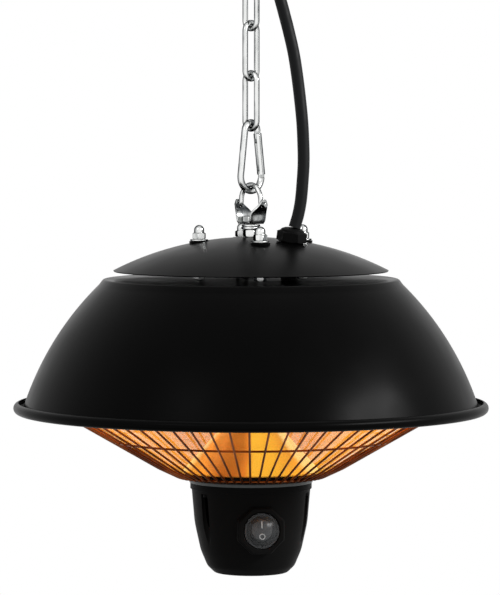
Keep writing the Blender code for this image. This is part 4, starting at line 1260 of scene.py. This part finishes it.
def housing_collar():
    lid = COLLAR_TOP - 3
    corners = [
        (TUBE_HOLE, COLLAR_TOP, 0),
        (51.1, COLLAR_TOP, 0.6),
        (51.1, COLLAR_SHOULDER, 0.4),
        (55.3, COLLAR_SHOULDER, 1.2),
        (55.3, COLLAR_LOW, 0.5),
        (45, COLLAR_LOW, 0),
        (45, lid, 0),
        (TUBE_HOLE, lid, 0),
        (TUBE_HOLE, COLLAR_TOP, 0),
    ]
    outline = softened(corners, 4)
    return dressed(turned("housing_collar", outline, 128), "heater", COLLAR, "collar", "housing_collar")


def facing_front(piece, reach):
    """Turns a piece made about the vertical to face the front, at a distance from the axis."""
    move = Matrix.Translation((UP * SWITCH + from_front(0) * reach) * MM) @ Matrix.Rotation(pi / 2, 4, "X")
    return placed(piece, move)


def control_housing():
    """A moulded bowl with a flat pad for the switch and three recesses for the screws."""
    outer = [
        (54.5, HOUSING_TOP, 0),
        (54.5, HOUSING_TOP - 5, 0.4),
        (53.2, HOUSING_TOP - 5.6, 0.3),
        (50.6, HOUSING_TOP - 35.9, 90),
        (45.2, HOUSING_TOP - 60.4, 40),
        (39.3, HOUSING_TOP - 74.4, 10),
        (32.5, HOUSING_TOP - 81, 5),
        (0, HOUSING_TOP - 79.5, 0),
    ]
    inner = [(50.4, HOUSING_TOP + 2, 0)]
    inner += [(max(radius - 2.8, 0), height + 2.8, bend) for radius, height, bend in outer[3:]]
    closed = turned("control_housing", [(0, HOUSING_TOP)] + softened(outer, 16), 128)
    hollow = turned("hollow", [(0, HOUSING_TOP + 2)] + softened(inner, 12), 128)
    closed = cut(closed, hollow)
    pad = facing_front(prism("pad", 8, 42.0, 0, PAD_FRONT - 40), 40)
    made = cut(closed, eased(pad, 1.2, 3), operation="UNION")
    low, high = UP * (HOUSING_TOP - 90), UP * (HOUSING_TOP - 7.7)
    cuts = []
    for turn in SCREW_TURNS:
        spot = from_front(turn) * RECESS_CIRCLE
        cuts.append(bar("recess", 9.2, spot + low, spot + high))
    cuts.append(facing_front(prism("hole", 48, 29.2, -20, 10), PAD_FRONT))
    made = cut(made, *cuts)
    return dressed(eased(made, 0.5, 2, 30), "heater", MOULDING, "moulding", "control_housing")


def switch():
    """A round rocker in its body, an eight-sided bezel and a clear domed boot over them."""
    bezel = prism("switch_bezel", 8, 40, TOUCH, 3)
    bezel = cut(bezel, prism("bore", 64, 32.4, -2, 6))
    facing_front(eased(bezel, 0.9, 3), PAD_FRONT)
    dressed(bezel, "heater", MOULDING, "moulding", "switch_bezel")

    front = 1.8
    corners = [
        (0, front - 7.5, 0),
        (10.6, front - 7.5, 0),
        (10.6, front, 0.4),
        (15.6, front, 0.5),
        (15.6, TOUCH, 0),
        (14.2, TOUCH, 0),
        (14.2, -22.2, 0),
        (0, -22.2, 0),
    ]
    barrel = facing_front(turned("switch_body", softened(corners, 3), 64), PAD_FRONT)
    dressed(barrel, "heater", MOULDING, "moulding", "switch_body")

    tilt = Matrix.Rotation(radians(-12), 4, "X")
    outline = softened([(0, 3.8, 0), (9.3, 4.6, 0.7), (9.3, -2.4, 0), (0, -2.4, 0)], 4)
    button = turned("switch_rocker", outline, 64)
    stroke = slab("stroke", (0, 4.6, 4.25), (0.55, 3.1, 0.3), (Vector((1, 0, 0)), Vector((0, 1, 0)), UP))
    ring = wire_ring("ring", 2.3, 1, (0, -5.9, 4.4), 48, 8, 35)
    marks = joined("rocker_marks", [stroke, ring])
    for piece in (button, marks):
        facing_front(placed(piece, tilt), PAD_FRONT - 1)
    dressed(button, "rocker", ROCKER, "rocker", "switch_rocker")
    dressed(marks, "rocker", INK, "rocker")

    low, rise, half_width = 2.1, 6.2, 13.6
    rim, rim_rise, sheet = 15.6, 1.2, 0.8
    bend = (half_width**2 + rise**2) / (2 * rise)
    middle = low + rise - bend
    reach = asin(half_width / bend) * 180 / pi
    outer_reach = 90 - asin((low + rim_rise - middle) / (bend + sheet)) * 180 / pi
    inner = arc((0, middle), bend, 90 - reach, 90, 14)
    outer = arc((0, middle), bend + sheet, 90, 90 - outer_reach, 14)
    outline = outer + [(rim, low + rim_rise), (rim, low)] + inner
    boot = facing_front(turned("switch_boot", outline, 64), PAD_FRONT)
    dressed(boot, "heater", BOOT, "boot", "switch_boot")


# ---- making ----

socket_piece = ceiling_cable_socket()
power_cable()
ceiling_plate()
ceiling_hook()
chain_link("chain_link_1", HOOK_PIVOT, LINK_WAY, "link_1")
chain_link("chain_link_2", LINK_2_TOP, SWING_WAY, "link_2")
chain_link("chain_link_3", LINK_3_PIVOT, LINK_WAY, "link_3")
snap_hook()
hanger_bail()
hanger_strap()
hanger_bolt()
hanger_washers()
top_cap()
for place, bolt_turn in enumerate(BOLT_TURNS, 1):
    acorn_nut(place, bolt_turn)
    long_bolt(place, bolt_turn)
gland()
inner_lead()
shade()
upper_reflector()
cone_reflector()
lamp()
glass_guard()
wire_guard()
guard_base_plate()
housing_collar()
control_housing()
switch()

# Pieces that stay as the CAD has them
KEPT = (
    (ZINC, ("hanger_lock_nut", "central_tube", "tube_nut_upper", "tube_nut_lower")),
    (MOULDING, ("gland_body", "gland_lock_nut", "housing_screw_1", "housing_screw_2", "housing_screw_3")),
    (RUBBER, ("cable_grommet",)),
)
for finish, names in KEPT:
    for kept in names:
        finished(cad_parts[kept], finish)

alone()
